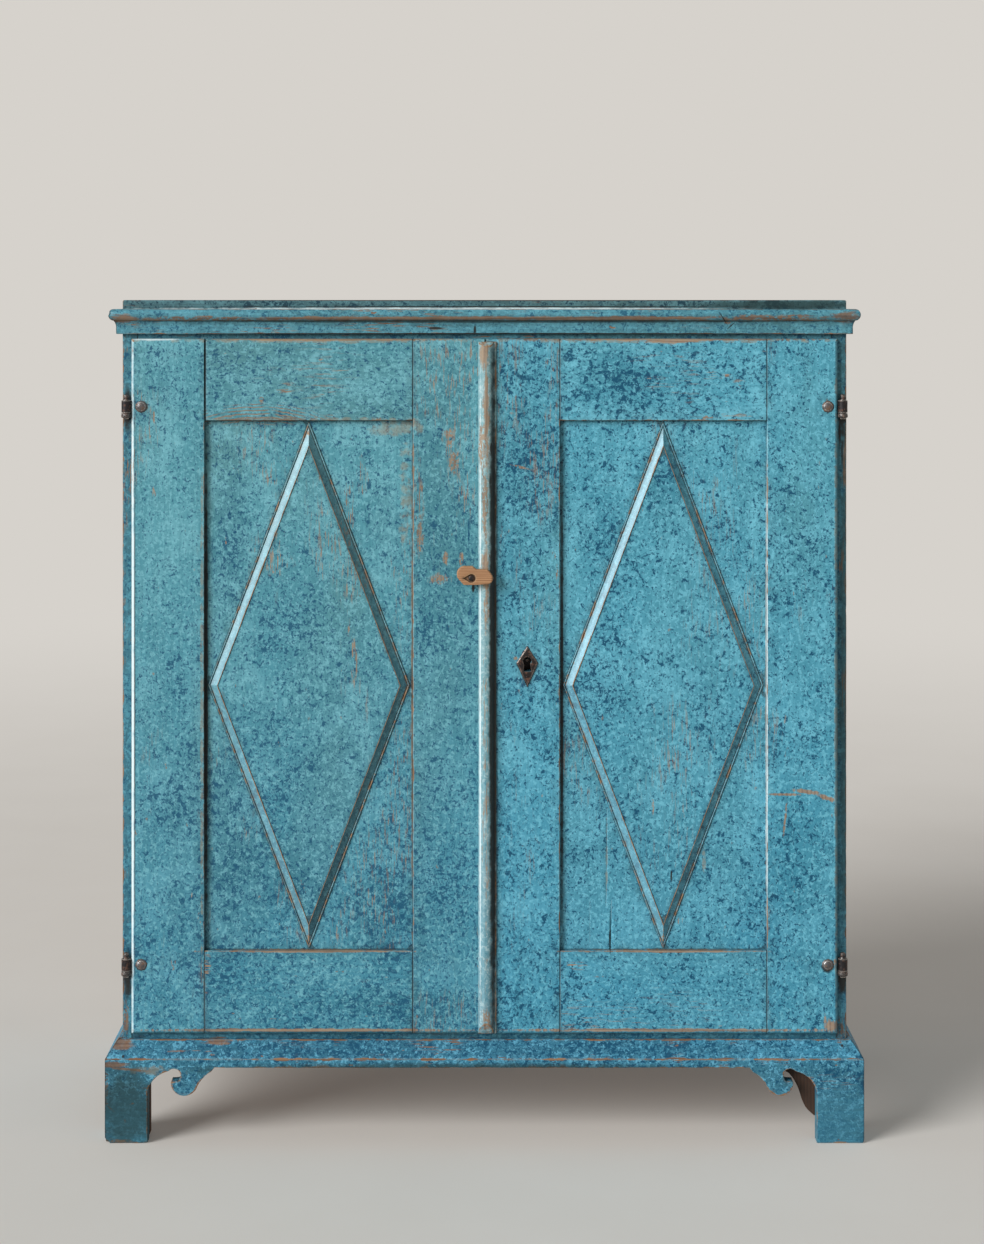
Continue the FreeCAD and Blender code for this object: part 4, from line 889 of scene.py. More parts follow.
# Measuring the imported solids
@dataclass
class Stretch:
    """A short straight stretch of an edge."""

    start: Vector
    end: Vector

    def middle(self) -> Vector:
        """The point halfway along."""
        return (self.start + self.end) / 2


class Nearest:
    """Tells how far a point lies from a set of stretches."""

    FAR = 50 * MM
    TRIES = 4

    def __init__(self, stretches: Sequence[Stretch]) -> None:
        """Sort the stretches for searching.

        Args:
            stretches: The stretches of one kind on one piece.
        """
        self.stretches = stretches
        self.tree = KDTree(max(len(stretches), 1))
        for index, stretch in enumerate(stretches):
            self.tree.insert(stretch.middle(), index)
        self.tree.balance()

    def gap(self, point: Vector) -> float:
        """The distance to the nearest stretch.

        Args:
            point: The point that asks.

        Returns:
            The distance in metres, or a far one where there is nothing.
        """
        best = self.FAR
        if not self.stretches:
            return best
        for _, index, _ in self.tree.find_n(point, self.TRIES):
            stretch = self.stretches[index]
            foot, share = geometry.intersect_point_line(point, stretch.start, stretch.end)
            foot = stretch.start if share < 0 else stretch.end if share > 1 else foot
            best = min(best, (point - foot).length)
        return best


class Solids:
    """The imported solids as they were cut: their arrises, and where one piece meets another."""

    STEP = 8 * MM
    TOUCH = 0.6 * MM

    def __init__(self) -> None:
        """Survey every node, then sort its arrises into open and shut ones."""
        self.trees: dict[str, BVHTree] = {}
        self.arrises: dict[str, list[tuple[Stretch, bool]]] = {}
        for node in frame["nodes"]:
            mesh = self.copy(node)
            self.trees[node] = BVHTree.FromBMesh(mesh)
            self.arrises[node] = list(self.sharp(mesh))
            mesh.free()
        self.open: dict[str, list[Stretch]] = {node: [] for node in self.trees}
        self.shut: dict[str, list[Stretch]] = {node: [] for node in self.trees}
        for node in self.trees:
            self.sort(node)

    @staticmethod
    def copy(node: str) -> bmesh.types.BMesh:
        """The node's mesh with its flat faces whole.

        Args:
            node: The CAD node.

        Returns:
            A mesh to work on.
        """
        mesh = bmesh.new()
        mesh.from_mesh(frame["nodes"][node].data)
        for layer in list(mesh.loops.layers.uv):
            mesh.loops.layers.uv.remove(layer)
        bmesh.ops.remove_doubles(mesh, verts=mesh.verts, dist=1e-5)
        bmesh.ops.dissolve_limit(mesh, angle_limit=math.radians(0.6), verts=mesh.verts, edges=mesh.edges)
        bmesh.ops.recalc_face_normals(mesh, faces=mesh.faces)
        return mesh

    def sharp(self, mesh: bmesh.types.BMesh) -> Iterable[tuple[Stretch, bool]]:
        """The sharp edges in short stretches.

        Args:
            mesh: The mesh to read.

        Yields:
            Each stretch, and whether its edge sticks out.
        """
        for edge in mesh.edges:
            if len(edge.link_faces) != 2 or edge.calc_face_angle() < SHARP:
                continue
            first, last = (vertex.co.copy() for vertex in edge.verts)
            count = max(1, math.ceil((last - first).length / self.STEP))
            points = [first.lerp(last, index / count) for index in range(count + 1)]
            for start, end in zip(points, points[1:]):
                yield Stretch(start, end), edge.is_convex

    def neighbours(self, node: str) -> list[str]:
        """The nodes of the same body whose boxes meet this one's.

        Args:
            node: The CAD node.

        Returns:
            The others' names.
        """
        low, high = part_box(node)
        found = []
        for other in self.trees:
            if other == node or body_of(frame["nodes"][other]) != body_of(frame["nodes"][node]):
                continue
            near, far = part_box(other)
            if all(near[i] <= high[i] + MM and far[i] >= low[i] - MM for i in range(3)):
                found.append(other)
        return found

    def sort(self, node: str) -> None:
        """Put each arris of a node with the open or the shut ones.

        Args:
            node: The CAD node.
        """
        others = self.neighbours(node)
        for stretch, sticks_out in self.arrises[node]:
            touched = [n for n in others if self.trees[n].find_nearest(stretch.middle(), self.TOUCH)[0]]
            for other in touched:
                self.shut[other].append(stretch)
            if touched or not sticks_out:
                self.shut[node].append(stretch)
            else:
                self.open[node].append(stretch)


# Working one piece
@dataclass(frozen=True)
class Crack:
    """A drying crack along the fibres of an upright board, given by its foot and its head."""

    foot: Vector
    head: Vector
    width: float = 1.5 * MM
    depth: float = 3.0 * MM

    def side(self) -> Vector:
        """The way across the crack."""
        way = (self.head - self.foot).normalized()
        return Vector((way.z, 0.0, -way.x))

    def cuts(self) -> tuple[tuple[Vector, Vector], ...]:
        """A point and a normal for the cuts along its two lips and its bottom."""
        return tuple((self.foot + self.side() * self.width * share, self.side()) for share in (-0.5, 0.0, 0.5))

    def sink(self, point: Vector) -> float:
        """How far a point on the board's face has sunk.

        Args:
            point: The point.

        Returns:
            The depth in metres.
        """
        way = self.head - self.foot
        share = (point - self.foot).dot(way) / way.length_squared
        if not 0 < share < 1 or abs((point - self.foot).dot(self.side())) > self.width * 0.25:
            return 0.0
        return self.depth * min(1.0, share * 6, (1 - share) * 3)


@dataclass(frozen=True)
class Bite:
    """A chipped place, scooped out by a ball."""

    middle: Vector
    radius: float

    def scoop(self, point: Vector) -> Vector:
        """The same point, or its place on the ball."""
        reach = point - self.middle
        return point if reach.length >= self.radius else self.middle + reach.normalized() * self.radius


@dataclass
class Stock:
    """One piece, cut as its solid and then softened, worn and dressed."""

    node: str
    finish: Finish
    grain: Grain = Grain.UP
    painted: tuple[Side, ...] = ALL_ROUND
    cell: float = 24 * MM
    across: float = 24 * MM
    arris: float = 1.0 * MM
    wave: float = 0.22 * MM
    wave_size: float = 80 * MM
    nick: float = 0.5 * MM
    chip: float = 0.9 * MM
    crease: float = 50.0
    cuts: tuple[tuple[Vector, Vector], ...] = ()
    keen: float = 1.0
    cracks: tuple[Crack, ...] = ()
    bites: tuple[Bite, ...] = ()
    shoulder: Optional[float] = None
    shrink: float = 0.0

    BITE_SIZE = 13 * MM
    LUMP_SIZE = 24 * MM

    def dress(self, solids: Solids) -> bpy.types.Object:
        """Build the piece in the place of its node.

        Args:
            solids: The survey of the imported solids.

        Returns:
            The finished piece.
        """
        dice = random.Random(self.node)
        seed = Vector([dice.uniform(-40, 40) for _ in range(3)])
        mesh = solids.copy(self.node)
        self.soften(mesh)
        self.divide(mesh)
        coats = self.mark_coats(mesh)
        open_arris, shut_arris = Nearest(solids.open[self.node]), Nearest(solids.shut[self.node])
        gaps = [(open_arris.gap(v.co), shut_arris.gap(v.co)) for v in mesh.verts]
        self.shape(mesh, gaps, seed)
        piece = self.to_object(mesh, gaps, coats, seed, dice.random())
        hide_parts(self.node)
        LOG.info("%s: %d faces, %s", piece.name, len(piece.data.polygons), self.finish.value)
        return piece

    def soften(self, mesh: bmesh.types.BMesh) -> None:
        """Take the arrises off.

        Args:
            mesh: The mesh in work.
        """
        edges = [
            edge for edge in mesh.edges
            if len(edge.link_faces) == 2 and edge.is_convex and edge.calc_face_angle() > SHARP
        ]
        bmesh.ops.bevel(mesh, geom=edges, offset=self.arris, offset_type="OFFSET", segments=2,
                        profile=0.5, affect="EDGES", clamp_overlap=False)

    def divide(self, mesh: bmesh.types.BMesh) -> None:
        """Cut the faces into cells, so that wear and unevenness have points to work on.

        Args:
            mesh: The mesh in work.
        """
        for axis in range(3):
            places = [vertex.co[axis] for vertex in mesh.verts]
            low, high = min(places), max(places)
            size = self.cell if axis == self.grain.value else self.across
            count = max(2, math.ceil((high - low) / size))
            normal = Vector([1.0 if i == axis else 0.0 for i in range(3)])
            for index in range(1, count):
                self.slice(mesh, normal * (low + (high - low) * index / count), normal)
        for point, normal in self.cuts + tuple(cut for crack in self.cracks for cut in crack.cuts()):
            self.slice(mesh, point, normal)

    @staticmethod
    def slice(mesh: bmesh.types.BMesh, point: Vector, normal: Vector) -> None:
        """Cut every face along a plane."""
        everything = mesh.verts[:] + mesh.edges[:] + mesh.faces[:]
        bmesh.ops.bisect_plane(mesh, geom=everything, dist=1e-6, plane_co=point, plane_no=normal)

    def mark_coats(self, mesh: bmesh.types.BMesh) -> list[float]:
        """Tell painted faces from bare ones.

        Args:
            mesh: The mesh in work.

        Returns:
            1 or 0 for each face.
        """
        mesh.normal_update()
        ways = [Vector(side.value) for side in self.painted]
        return [1.0 if any(face.normal.dot(way) > 0.35 for way in ways) else 0.0 for face in mesh.faces]

    def shape(self, mesh: bmesh.types.BMesh, gaps: list[tuple[float, float]], seed: Vector) -> None:
        """Give the piece its uneven surface and worn arrises, always inwards.

        Args:
            mesh: The mesh in work.
            gaps: Each vertex's distance from the open and the shut arrises.
            seed: Where this piece reads its noise.
        """
        moves = []
        for vertex, (gap, _) in zip(mesh.verts, gaps):
            wave = 0.5 + 0.5 * noise.noise(vertex.co / self.wave_size + seed)
            move = self.wave * wave
            if gap < self.arris * 1.6:
                bite = 0.5 + 0.5 * noise.noise(vertex.co / self.BITE_SIZE + seed)
                lump = max(0.0, noise.noise(vertex.co / self.LUMP_SIZE - seed) - 0.3)
                move += self.nick * bite * bite + self.chip * lump * 1.4
            if vertex.normal.y < -0.9:
                move += max([crack.sink(vertex.co) for crack in self.cracks], default=0.0)
            moves.append(vertex.normal * -move)
        for vertex, move in zip(mesh.verts, moves):
            vertex.co += move
            for bite in self.bites:
                vertex.co = bite.scoop(vertex.co)
            if self.shoulder is not None and abs(vertex.co[self.grain.value] - self.shoulder) < 2.5 * MM:
                vertex.co[self.grain.value] += self.shrink

    def to_object(self, mesh: bmesh.types.BMesh, gaps: list[tuple[float, float]], coats: list[float],
                  seed: Vector, tone: float) -> bpy.types.Object:
        """Turn the work into an object with its finish.

        Args:
            mesh: The mesh in work.
            gaps: Each vertex's distance from the open and the shut arrises.
            coats: 1 for each painted face and 0 for each bare one.
            seed: The place in the tree that the board came from.
            tone: How far the board's colour leans.

        Returns:
            The object, in place.
        """
        piece = settle(mesh, self.node + "_dressed", self.node, self.finish.material(self.node))
        data = piece.data
        front = Vector(Side.FRONT.value)
        # Each face's side to the window light from the upper left: 1 where it turns left, 0.76 where it turns down and
        # left, 0.4 where it turns right or mostly down, 0 where it looks straight out, up or away from the front. The
        # paint reads it for its painted highlight and painted shade, and for its coat and thinner dabs.
        light_sides = [0.0 if not 0.3 < face.normal.dot(front) < 0.985 or face.normal.z > abs(face.normal.x)
                  else 0.4 if face.normal.x - face.normal.z * 0.8 > 0.05
                  else 0.76 if face.normal.z < -0.05 else 1.0 for face in data.polygons]
        order = {Grain.UP: (0, 1, 2), Grain.ACROSS: (2, 1, 0), Grain.BACK: (2, 0, 1)}[self.grain]
        fibres, wear = [], []
        for vertex in data.vertices:
            fibres += [vertex.co[axis] + seed[axis] for axis in order]
        for polygon, coat in zip(data.polygons, coats):
            for index in polygon.vertices:
                wear += [gaps[index][0] * self.keen, gaps[index][1] * self.keen, coat]
        data.attributes.new("grain", "FLOAT_VECTOR", "POINT").data.foreach_set("vector", fibres)
        data.attributes.new("wear", "FLOAT_VECTOR", "CORNER").data.foreach_set("vector", wear)
        data.attributes.new("light_side", "FLOAT", "FACE").data.foreach_set("value", light_sides)
        data.attributes.new("tone", "FLOAT", "POINT").data.foreach_set("value", [tone] * len(data.vertices))
        data.set_sharp_from_angle(angle=math.radians(self.crease))
        weighted = piece.modifiers.new("even_shading", "WEIGHTED_NORMAL")
        weighted.keep_sharp = True
        return piece


RIGHT_CRACKS = (
    Crack(Vector((0.1766, -0.2, 0.338)), Vector((0.1782, -0.2, 0.486)), 1.2 * MM, 1.6 * MM),
    Crack(Vector((0.1824, -0.2, 0.262)), Vector((0.1844, -0.2, 0.342)), 1.6 * MM),
    Crack(Vector((0.1530, -0.2, 0.285)), Vector((0.1530, -0.2, 0.350)), 0.8 * MM, 0.8 * MM),
)


@dataclass
class Studs:
    """Hand-made nail heads on one piece."""

    name: str
    node: str
    side: Side
    places: tuple[Vector, ...]
    radius: float = 2.6 * MM
    height: float = 0.9 * MM
    finish: Finish = Finish.IRON

    CORNERS = 10
    PROFILE = ((0.96, -0.6), (1.0, 0.3), (0.78, 0.72), (0.4, 0.94))

    def build(self) -> bpy.types.Object:
        """Make the heads as one piece that moves with its board.

        Returns:
            The piece.
        """
        dice = random.Random(self.name)
        mesh = bmesh.new()
        out = Vector(self.side.value)
        right = out.orthogonal().normalized()
        up = out.cross(right)
        for place in self.places:
            rings = []
            for share, rise in self.PROFILE:
                turn = dice.uniform(0.0, 0.2)
                corners = [index * math.tau / self.CORNERS + turn for index in range(self.CORNERS)]
                rings.append([mesh.verts.new(
                    place + out * self.height * rise + (right * math.cos(angle) + up * math.sin(angle))
                    * self.radius * share * dice.uniform(0.93, 1.05)) for angle in corners])
            rings.append([mesh.verts.new(place + out * self.height)] * self.CORNERS)
            for low, high in zip(rings, rings[1:]):
                band(mesh, low, high)
            mesh.faces.new(list(reversed(rings[0])))
        bmesh.ops.recalc_face_normals(mesh, faces=mesh.faces)
        return settle(mesh, self.name, self.node, self.finish.material(), wear=[5 * MM, 5 * MM, 1.0])


@dataclass
class HingeTrim:
    """The forged knob over and collar under each hinge eye, on the pin that the eye turns about."""

    knob: tuple[tuple[float, float], ...] = (
        (4.6, -1.0), (4.9, 0.6), (3.4, 2.0), (3.2, 3.4), (4.0, 5.0), (3.6, 7.0), (2.2, 8.6), (0.0, 9.2))
    collar: tuple[tuple[float, float], ...] = (
        (0.0, -7.4), (6.6, -7.2), (7.4, -6.2), (7.5, -3.4), (6.9, -2.0), (7.2, -0.9), (0.0, -0.8))
    turns: int = 20

    def lathe(self, mesh: bmesh.types.BMesh, foot: Vector, profile: Sequence[tuple[float, float]],
              dice: random.Random) -> None:
        """Add one turned form, a little uneven.

        Args:
            mesh: The mesh in work.
            foot: The height that the profile starts from, on the axis.
            profile: Radii and heights in millimetres, upwards.
            dice: What makes it uneven.
        """
        rings = []
        for radius, height in profile:
            if radius == 0.0:
                rings.append([mesh.verts.new(foot + Vector((0, 0, height * MM)))] * self.turns)
                continue
            ring = []
            for index in range(self.turns):
                angle = index * math.tau / self.turns
                reach = radius * MM * dice.uniform(0.95, 1.0)
                ring.append(mesh.verts.new(
                    foot + Vector((math.cos(angle) * reach, math.sin(angle) * reach, height * MM))))
            rings.append(ring)
        if profile[0][0] > 0.0:
            mesh.faces.new(list(reversed(rings[0])))
        for low, high in zip(rings, rings[1:]):
            band(mesh, low, high)

    def build(self) -> None:
        """Make a knob and a collar for each of the four hinges."""
        for side, way in HANDS.items():
            for level in LEVELS:
                node = f"{side}_{level}_pintle"
                low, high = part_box(f"{side}_{level}_hinge_eye")
                dice = random.Random(node)
                mesh = bmesh.new()
                for height, profile in ((high.z, self.knob), (low.z, self.collar)):
                    self.lathe(mesh, Vector((HINGE_AXIS[0] * way, HINGE_AXIS[1], height)), profile, dice)
                bmesh.ops.recalc_face_normals(mesh, faces=mesh.faces)
                settle(mesh, node + "_trim", node, Finish.HINGE.material(), wear=[1.2 * MM, 5 * MM, 1.0])


@dataclass
class Nailing:
    """Every nail whose head shows, and the discs under the rivets."""

    inset: float = 26 * MM

    def planks(self) -> list[Studs]:
        """Two nails where each back plank crosses the top, the shelves and the floor.

        Returns:
            One set for each plank.
        """
        sets = []
        for part in ("left", "middle", "right"):
            node = "back_plank_" + part
            low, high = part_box(node)
            rows = [(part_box(board)[0].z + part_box(board)[1].z) / 2
                    for board in ("bottom_board", "lower_shelf", "upper_shelf")] + [high.z - 10 * MM]
            places = tuple(
                Vector((x, high.y - 0.9 * MM, z)) for z in rows for x in (low.x + self.inset, high.x - self.inset))
            sets.append(Studs(node + "_nails", node, Side.BACK, places, 3.2 * MM))
        return sets

    def roves(self) -> list[Studs]:
        """The beaten iron disc under each rivet's head.

        Returns:
            One set for each door.
        """
        sets = []
        for side, way in HANDS.items():
            places = []
            for level in LEVELS:
                low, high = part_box(f"{side}_{level}_hinge_eye")
                places.append(Vector((RIVET_X * way, DOOR_FACE, (low.z + high.z) / 2)))
            sets.append(Studs(side + "_door_roves", side + "_door_rivets", Side.FRONT, tuple(places),
                              radius=8.9 * MM, finish=Finish.RIVET))
        return sets

    def build(self) -> None:
        """Make them all."""
        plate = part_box("escutcheon")[0].y
        places = tuple(Vector((x * MM, plate, z * MM)) for x, z in ((62.9, 711.4), (61.7, 672.9)))
        plate_nails = Studs("escutcheon_nails", "escutcheon", Side.FRONT, places, 1.7 * MM, 0.8 * MM)
        for studs in self.planks() + self.roves() + [plate_nails]:
            studs.build()


@dataclass
class Brace:
    """The sawn brace glued behind the right foot, which shows through its scroll."""

    profile: tuple[tuple[float, float], ...] = (
        (425.0, 112.0), (425.0, 100.0), (436.0, 98.0), (443.0, 94.3), (449.5, 86.0), (455.2, 75.4), (459.5, 64.0),
        (462.6, 53.7), (466.0, 46.5), (470.1, 41.2), (478.5, 33.6), (484.0, 31.0), (484.0, 112.0))
    thick: float = 16 * MM

    def build(self) -> bpy.types.Object:
        """Saw it out and glue it to the back of the base.

        Returns:
            The piece.
        """
        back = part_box("base_front")[1].y
        mesh = bmesh.new()
        sheets = [[mesh.verts.new((x * MM, back + depth, z * MM)) for x, z in self.profile]
                  for depth in (0.3 * MM, self.thick)]
        mesh.faces.new(sheets[0])
        mesh.faces.new(list(reversed(sheets[1])))
        band(mesh, sheets[1], sheets[0])
        bmesh.ops.recalc_face_normals(mesh, faces=mesh.faces)
        bmesh.ops.bevel(mesh, geom=[edge for edge in mesh.edges if edge.calc_face_angle(0.0) > SHARP],
                        offset=0.8 * MM, offset_type="OFFSET", segments=2, profile=0.5, affect="EDGES")
        # The brace takes pine darkened as painted shade.
        piece = settle(mesh, "right_foot_brace", "front_right_foot_block", Finish.BRACE.material(), False,
                       [9 * MM, 5 * MM, 1.0])
        data = piece.data
        grain = [axis for vertex in data.vertices for axis in (vertex.co.x + 7.0, vertex.co.y, vertex.co.z)]
        data.attributes.new("grain", "FLOAT_VECTOR", "POINT").data.foreach_set("vector", grain)
        data.attributes.new("tone", "FLOAT", "POINT").data.foreach_set("value", [1.0] * len(data.vertices))
        return piece


# The sub-assemblies
@dataclass
class Carcass:
    """The case: sides, top, floor, shelves on their cleats, and the planked back."""

    fine: float = 9 * MM
    coarse: float = 26 * MM

    def pieces(self) -> list[Stock]:
        """Every board of the case.

        Returns:
            The pieces in the order that they are made.
        """
        case, pine = Finish.CASE, Finish.PINE
        made = [
            Stock("left_side_board", case, Grain.UP, (Side.LEFT, Side.FRONT), self.fine, self.coarse),
            Stock("right_side_board", case, Grain.UP, (Side.RIGHT, Side.FRONT), self.fine, self.coarse),
            Stock("top_board", Finish.TOP, Grain.ACROSS, (Side.TOP, Side.FRONT, Side.LEFT, Side.RIGHT), self.fine,
                  self.coarse, chip=1.4 * MM),
            Stock("bottom_board", case, Grain.ACROSS, (Side.FRONT,), self.coarse, self.coarse),
            Stock("top_front_rail", case, Grain.ACROSS, (Side.FRONT,), self.coarse, self.coarse),
            Stock("bottom_front_rail", pine, Grain.ACROSS),
        ]
        for part in ("left", "middle", "right"):
            made.append(Stock("back_plank_" + part, pine, Grain.UP, wave=0.4 * MM))
        for level in LEVELS:
            made.append(Stock(level + "_shelf", pine, Grain.ACROSS))
            for side in HANDS:
                made.append(Stock(f"{level}_{side}_cleat", pine, Grain.BACK))
        return made


@dataclass
class Cornice:
    """The mitred moulding under the top board."""

    fine: float = 8 * MM
    arris: float = 0.7 * MM

    def pieces(self) -> list[Stock]:
        """The front length and its two returns.

        Returns:
            The pieces in the order that they are made.
        """
        low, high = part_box("cornice_front")
        bites = tuple(Bite(Vector((x, low.y, z * MM)), radius) for x, z, radius in (
            (low.x, 1200.0, 4 * MM), (high.x, 1183.5, 7 * MM), (high.x - 20 * MM, 1182.0, 4 * MM),
            (-0.075, 1179.0, 3 * MM), (0.36, 1180.0, 3 * MM)))
        made = [Stock("cornice_front", Finish.CORNICE, Grain.ACROSS, ALL_BUT_BACK, self.fine, self.fine, self.arris,
                      nick=0.7 * MM, chip=2.2 * MM, bites=bites)]
        for side in HANDS:
            made.append(Stock(f"cornice_{side}_return", Finish.CORNICE, Grain.BACK, ALL_ROUND, self.fine, self.fine,
                              self.arris, nick=0.6 * MM, chip=1.6 * MM, bites=bites))
        return made


@dataclass
class Base:
    """The plinth with its scrolled feet, and the blocks glued in its corners."""

    fine: float = 7 * MM

    def pieces(self) -> list[Stock]:
        """The front, the returns and the four blocks.

        Returns:
            The pieces in the order that they are made.
        """
        low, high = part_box("base_front")
        bites = tuple(Bite(Vector((x, low.y, z)), radius) for x, z, radius in (
            (low.x - 2 * MM, -1 * MM, 9 * MM), (high.x + 2 * MM, -2 * MM, 5 * MM),
            (low.x + 60 * MM, -2 * MM, 5 * MM), (-0.53, 0.1455, 5 * MM), (-0.385, 0.1465, 4 * MM)))
        made = [Stock("base_front", Finish.BASE, Grain.ACROSS, ALL_BUT_BACK, self.fine, self.fine, 1.1 * MM,
                      nick=0.8 * MM, chip=1.8 * MM, bites=bites)]
        for side, bare in (("left", Side.RIGHT), ("right", Side.LEFT)):
            painted = tuple(way for way in Side if way is not bare)
            made.append(Stock(f"base_{side}_return", Finish.BASE, Grain.BACK, painted, self.fine, self.fine,
                              bites=bites))
        for corner in ("front_left", "front_right", "rear_left", "rear_right"):
            # The blocks take pine darkened as painted shade.
            made.append(Stock(corner + "_foot_block", Finish.BRACE, Grain.UP))
        return made


@dataclass
class Door:
    """A frame-and-panel door with a lozenge planted on its panel."""

    name: str
    finish: Finish
    cracks: tuple[Crack, ...] = ()
    fine: float = 9 * MM

    def lozenge_cuts(self) -> tuple[tuple[Vector, Vector], ...]:
        """Cuts along the lozenge's foot, so that the panel has points on that line.

        Returns:
            A point and a normal for each cut.
        """
        low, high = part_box(self.name + "_door_lozenge")
        middle, half = (low + high) / 2, (high - low) / 2
        cuts = []
        for side in (-1, 1):
            for way in (-1, 1):
                normal = Vector((way / half.x, 0, side / half.z)).normalized()
                cuts.append((Vector((middle.x + half.x * way, middle.y, middle.z)), normal))
        return tuple(cuts)

    def pieces(self) -> list[Stock]:
        """The frame, the panel and the lozenge.

        Returns:
            The pieces in the order that they are made.
        """
        made = []
        for part in ("hinge_stile", "meeting_stile"):
            made.append(Stock(f"{self.name}_door_{part}", self.finish, Grain.UP, ALL_BUT_BACK, self.fine, self.fine,
                              chip=1.2 * MM))
        for part in ("top_rail", "bottom_rail"):
            made.append(Stock(f"{self.name}_door_{part}", self.finish, Grain.ACROSS, ALL_BUT_BACK, self.fine,
                              self.fine, chip=1.2 * MM))
            if made[-1].node == "left_door_top_rail":
                made[-1].shoulder, made[-1].shrink = -406.0 * MM, 1.6 * MM
        made.append(Stock(self.name + "_door_panel", self.finish, Grain.UP, ALL_BUT_BACK, self.fine, self.fine,
                          wave=0.3 * MM, cuts=self.lozenge_cuts(), cracks=self.cracks))
        made.append(Stock(self.name + "_door_lozenge", self.finish, Grain.UP, ALL_BUT_BACK, self.fine, self.fine,
                          arris=0.5 * MM, wave=0.15 * MM, nick=0.3 * MM, chip=0.5 * MM, crease=9.0, keen=2.0))
        return made


@dataclass
class Ironwork:
    """Hinges, rivets, the keyhole plate, the lock and the inside bolt."""

    fine: float = 2.6 * MM
    nodes: list[str] = field(default_factory=lambda: [
        "turn_button_screw", "escutcheon", "lock_case", "lock_drill_pin", "lock_bolt", "door_bolt_bar",
        "door_bolt_staples", "left_door_rivets", "right_door_rivets",
    ])

    @staticmethod
    def finish(name: str) -> Finish:
        """The finish of one piece: rivets are worn pale, and hinges along their edges."""
        return Finish.RIVET if "rivets" in name else Finish.HINGE if "pintle" in name or "eye" in name else Finish.IRON

    def pieces(self) -> list[Stock]:
        """Every piece of iron.

        Returns:
            The pieces in the order that they are made.
        """
        names = list(self.nodes)
        for side in HANDS:
            for level in LEVELS:
                names += [f"{side}_{level}_pintle", f"{side}_{level}_hinge_eye"]
        large = {"lock_case": 8 * MM, "lock_bolt": 5 * MM, "door_bolt_bar": 5 * MM}
        return [
            Stock(name, self.finish(name), cell=large.get(name, self.fine), across=large.get(name, self.fine),
                  arris=0.35 * MM, wave=0.3 * MM, wave_size=5 * MM, nick=0.2 * MM, chip=0.2 * MM)
            for name in names
        ]


@dataclass
class Fittings:
    """The wooden fittings: the strip over the gap, the turn button with its spacer, and the bolt's pad."""

    fine: float = 5 * MM

    def pieces(self) -> list[Stock]:
        """The strip, the button, the spacer and the pad.

        Returns:
            The pieces in the order that they are made.
        """
        return [
            Stock("meeting_strip", Finish.STRIP, cell=self.fine, across=4 * MM, arris=0.8 * MM, wave=0.2 * MM,
                  nick=0.6 * MM, chip=1.0 * MM),
            Stock("turn_button", Finish.BUTTON, Grain.ACROSS, cell=2 * MM, across=2 * MM, arris=0.6 * MM,
                  wave=0.3 * MM, wave_size=9 * MM),
            Stock("turn_button_spacer", Finish.PINE, cell=self.fine, across=self.fine, arris=0.5 * MM),
            Stock("door_bolt_pad", Finish.PINE, cell=12 * MM, across=12 * MM),
        ]


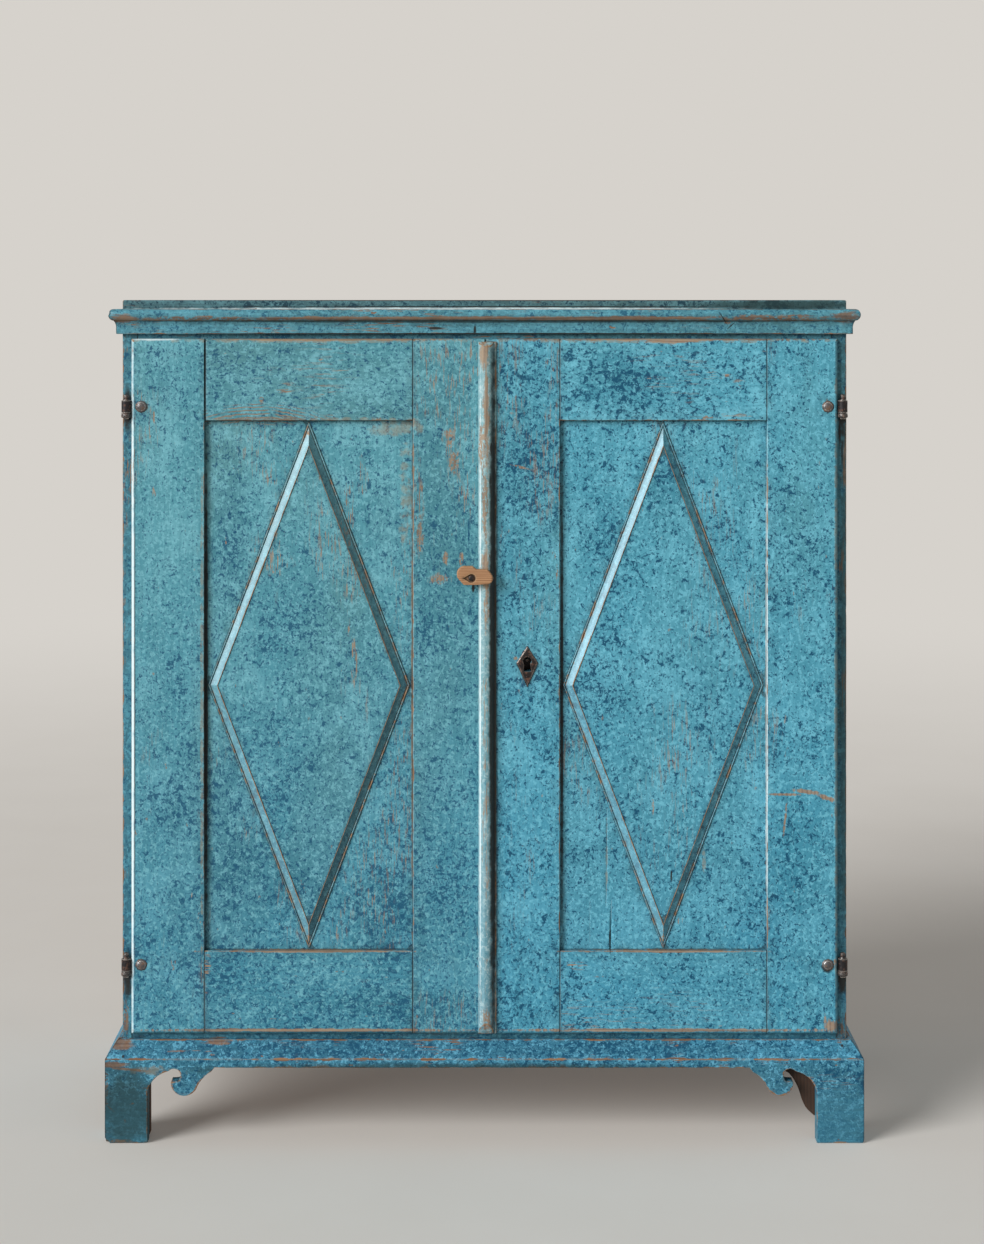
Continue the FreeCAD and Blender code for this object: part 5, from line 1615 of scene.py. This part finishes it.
@dataclass
class Studio:
    """The pale floor, the soft lights and the camera at the photograph's place."""

    distance: float = 3.6
    eye: float = 1.219
    face: float = -0.221
    picture: tuple[int, int] = (984, 1244)
    centre: tuple[float, float] = (484.5, 300.0)
    scale: float = 1.45 * MM
    sensor: float = 36.0
    fill: float = 0.26
    fill_colour: Colour = (1.0, 0.99, 0.97, 1.0)
    sun_way: tuple[float, float, float] = (-0.706, -0.593, 0.386)
    sun_spread: float = math.radians(32)
    sun_strength: float = 3.3
    pale: Colour = paint(214, 210, 204)

    def camera(self) -> None:
        """Stand the camera where the photograph was taken from."""
        data = bpy.data.cameras.new("camera")
        tall = max(self.picture)
        data.sensor_width = self.sensor
        data.lens = data.sensor_width * self.distance / (self.scale * tall)
        data.shift_x = (self.picture[0] / 2 - self.centre[0]) / tall
        data.shift_y = (self.centre[1] - self.picture[1] / 2) / tall
        data.clip_end = 60.0
        camera = bpy.data.objects.new("camera", data)
        camera.location = (0.0, self.face - self.distance, self.eye)
        camera.rotation_euler = (math.pi / 2, 0.0, 0.0)
        bpy.context.scene.collection.objects.link(camera)
        bpy.context.scene.camera = camera

    @staticmethod
    def window(toward: Vector, spread: float, strength: float) -> None:
        """Let soft daylight in from one side, as wide as a tall window.

        Args:
            toward: The way from the cabinet to the window.
            spread: The angle that the window fills.
            strength: How bright it is.
        """
        data = bpy.data.lights.new("window_light", "SUN")
        data.angle = spread
        data.energy = strength
        lamp = bpy.data.objects.new("window_light", data)
        lamp.location = toward * 3.0
        lamp.rotation_euler = (-toward).to_track_quat("-Z", "Y").to_euler()
        bpy.context.scene.collection.objects.link(lamp)

    def world(self, light: float, seen: Colour) -> None:
        """Fill light from all round, and a pale backdrop for the eye.

        Args:
            light: The strength that lights the cabinet.
            seen: The colour that the camera and reflections see.
        """
        bench = Bench(bpy.data.worlds.new("studio"))
        rays = bench.node("ShaderNodeLightPath").outputs
        watched = Term(bench, rays["Is Camera Ray"]) | rays["Is Glossy Ray"] | rays["Is Transmission Ray"]
        fill = bench.node("ShaderNodeBackground", {}, {"Color": self.fill_colour, "Strength": light})
        backdrop = bench.node("ShaderNodeBackground", {}, {"Color": seen})
        mix = bench.node("ShaderNodeMixShader", {}, {0: watched, 1: fill.outputs[0], 2: backdrop.outputs[0]})
        bench.node("ShaderNodeOutputWorld", {}, {"Surface": mix.outputs[0]})
        bpy.context.scene.world = bench.owner

    def floor(self, seen: Colour) -> None:
        """Lay the floor.

        Args:
            seen: The pale colour that the camera reads far off.
        """
        mesh = bmesh.new()
        bmesh.ops.create_circle(mesh, cap_ends=True, segments=96, radius=40.0)
        data = bpy.data.meshes.new("studio_floor")
        mesh.to_mesh(data)
        mesh.free()
        bench = Bench(bpy.data.materials.new("floor_pale"))
        grit = bench.cloud(bench.place(), 3.0, 3.0)
        matt = bench.node("ShaderNodeBsdfDiffuse", {}, {
            "Color": bench.blend(grit, paint(226, 221, 214), paint(234, 230, 224)),
        })
        glow = bench.node("ShaderNodeEmission", {}, {"Color": seen})
        rays = bench.node("ShaderNodeLightPath")
        place = bench.node("ShaderNodeVectorMath", {"operation": "LENGTH"}, {0: bench.place()})
        far = Term(bench, place.outputs["Value"]).ramp(1.0, 6.0)
        share = (far | 0.12) * Term(bench, rays.outputs["Is Camera Ray"])
        mix = bench.node("ShaderNodeMixShader", {}, {0: share, 1: matt.outputs[0], 2: glow.outputs[0]})
        bench.node("ShaderNodeOutputMaterial", {}, {"Surface": mix.outputs[0]})
        data.materials.append(bench.owner)
        floor = bpy.data.objects.new("studio_floor", data)
        bpy.context.scene.collection.objects.link(floor)

    def build(self) -> None:
        """Set up floor, backdrop, lamps and camera."""
        self.world(self.fill, self.pale)
        self.floor(self.pale)
        self.window(Vector(self.sun_way), self.sun_spread, self.sun_strength)
        self.camera()
        bpy.context.scene.view_settings.view_transform = "Standard"


def main() -> None:
    """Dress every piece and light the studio."""
    logging.basicConfig(level=logging.INFO, format="%(name)s: %(message)s")
    solids = Solids()
    assemblies = [
        Carcass(), Cornice(), Base(), Door("left", Finish.LEFT), Door("right", Finish.RIGHT, RIGHT_CRACKS),
        Fittings(), Ironwork(),
    ]
    for assembly in assemblies:
        for stock in assembly.pieces():
            stock.dress(solids)
    Nailing().build()
    Brace().build()
    HingeTrim().build()
    Studio().build()


if __name__ == "__main__":
    main()
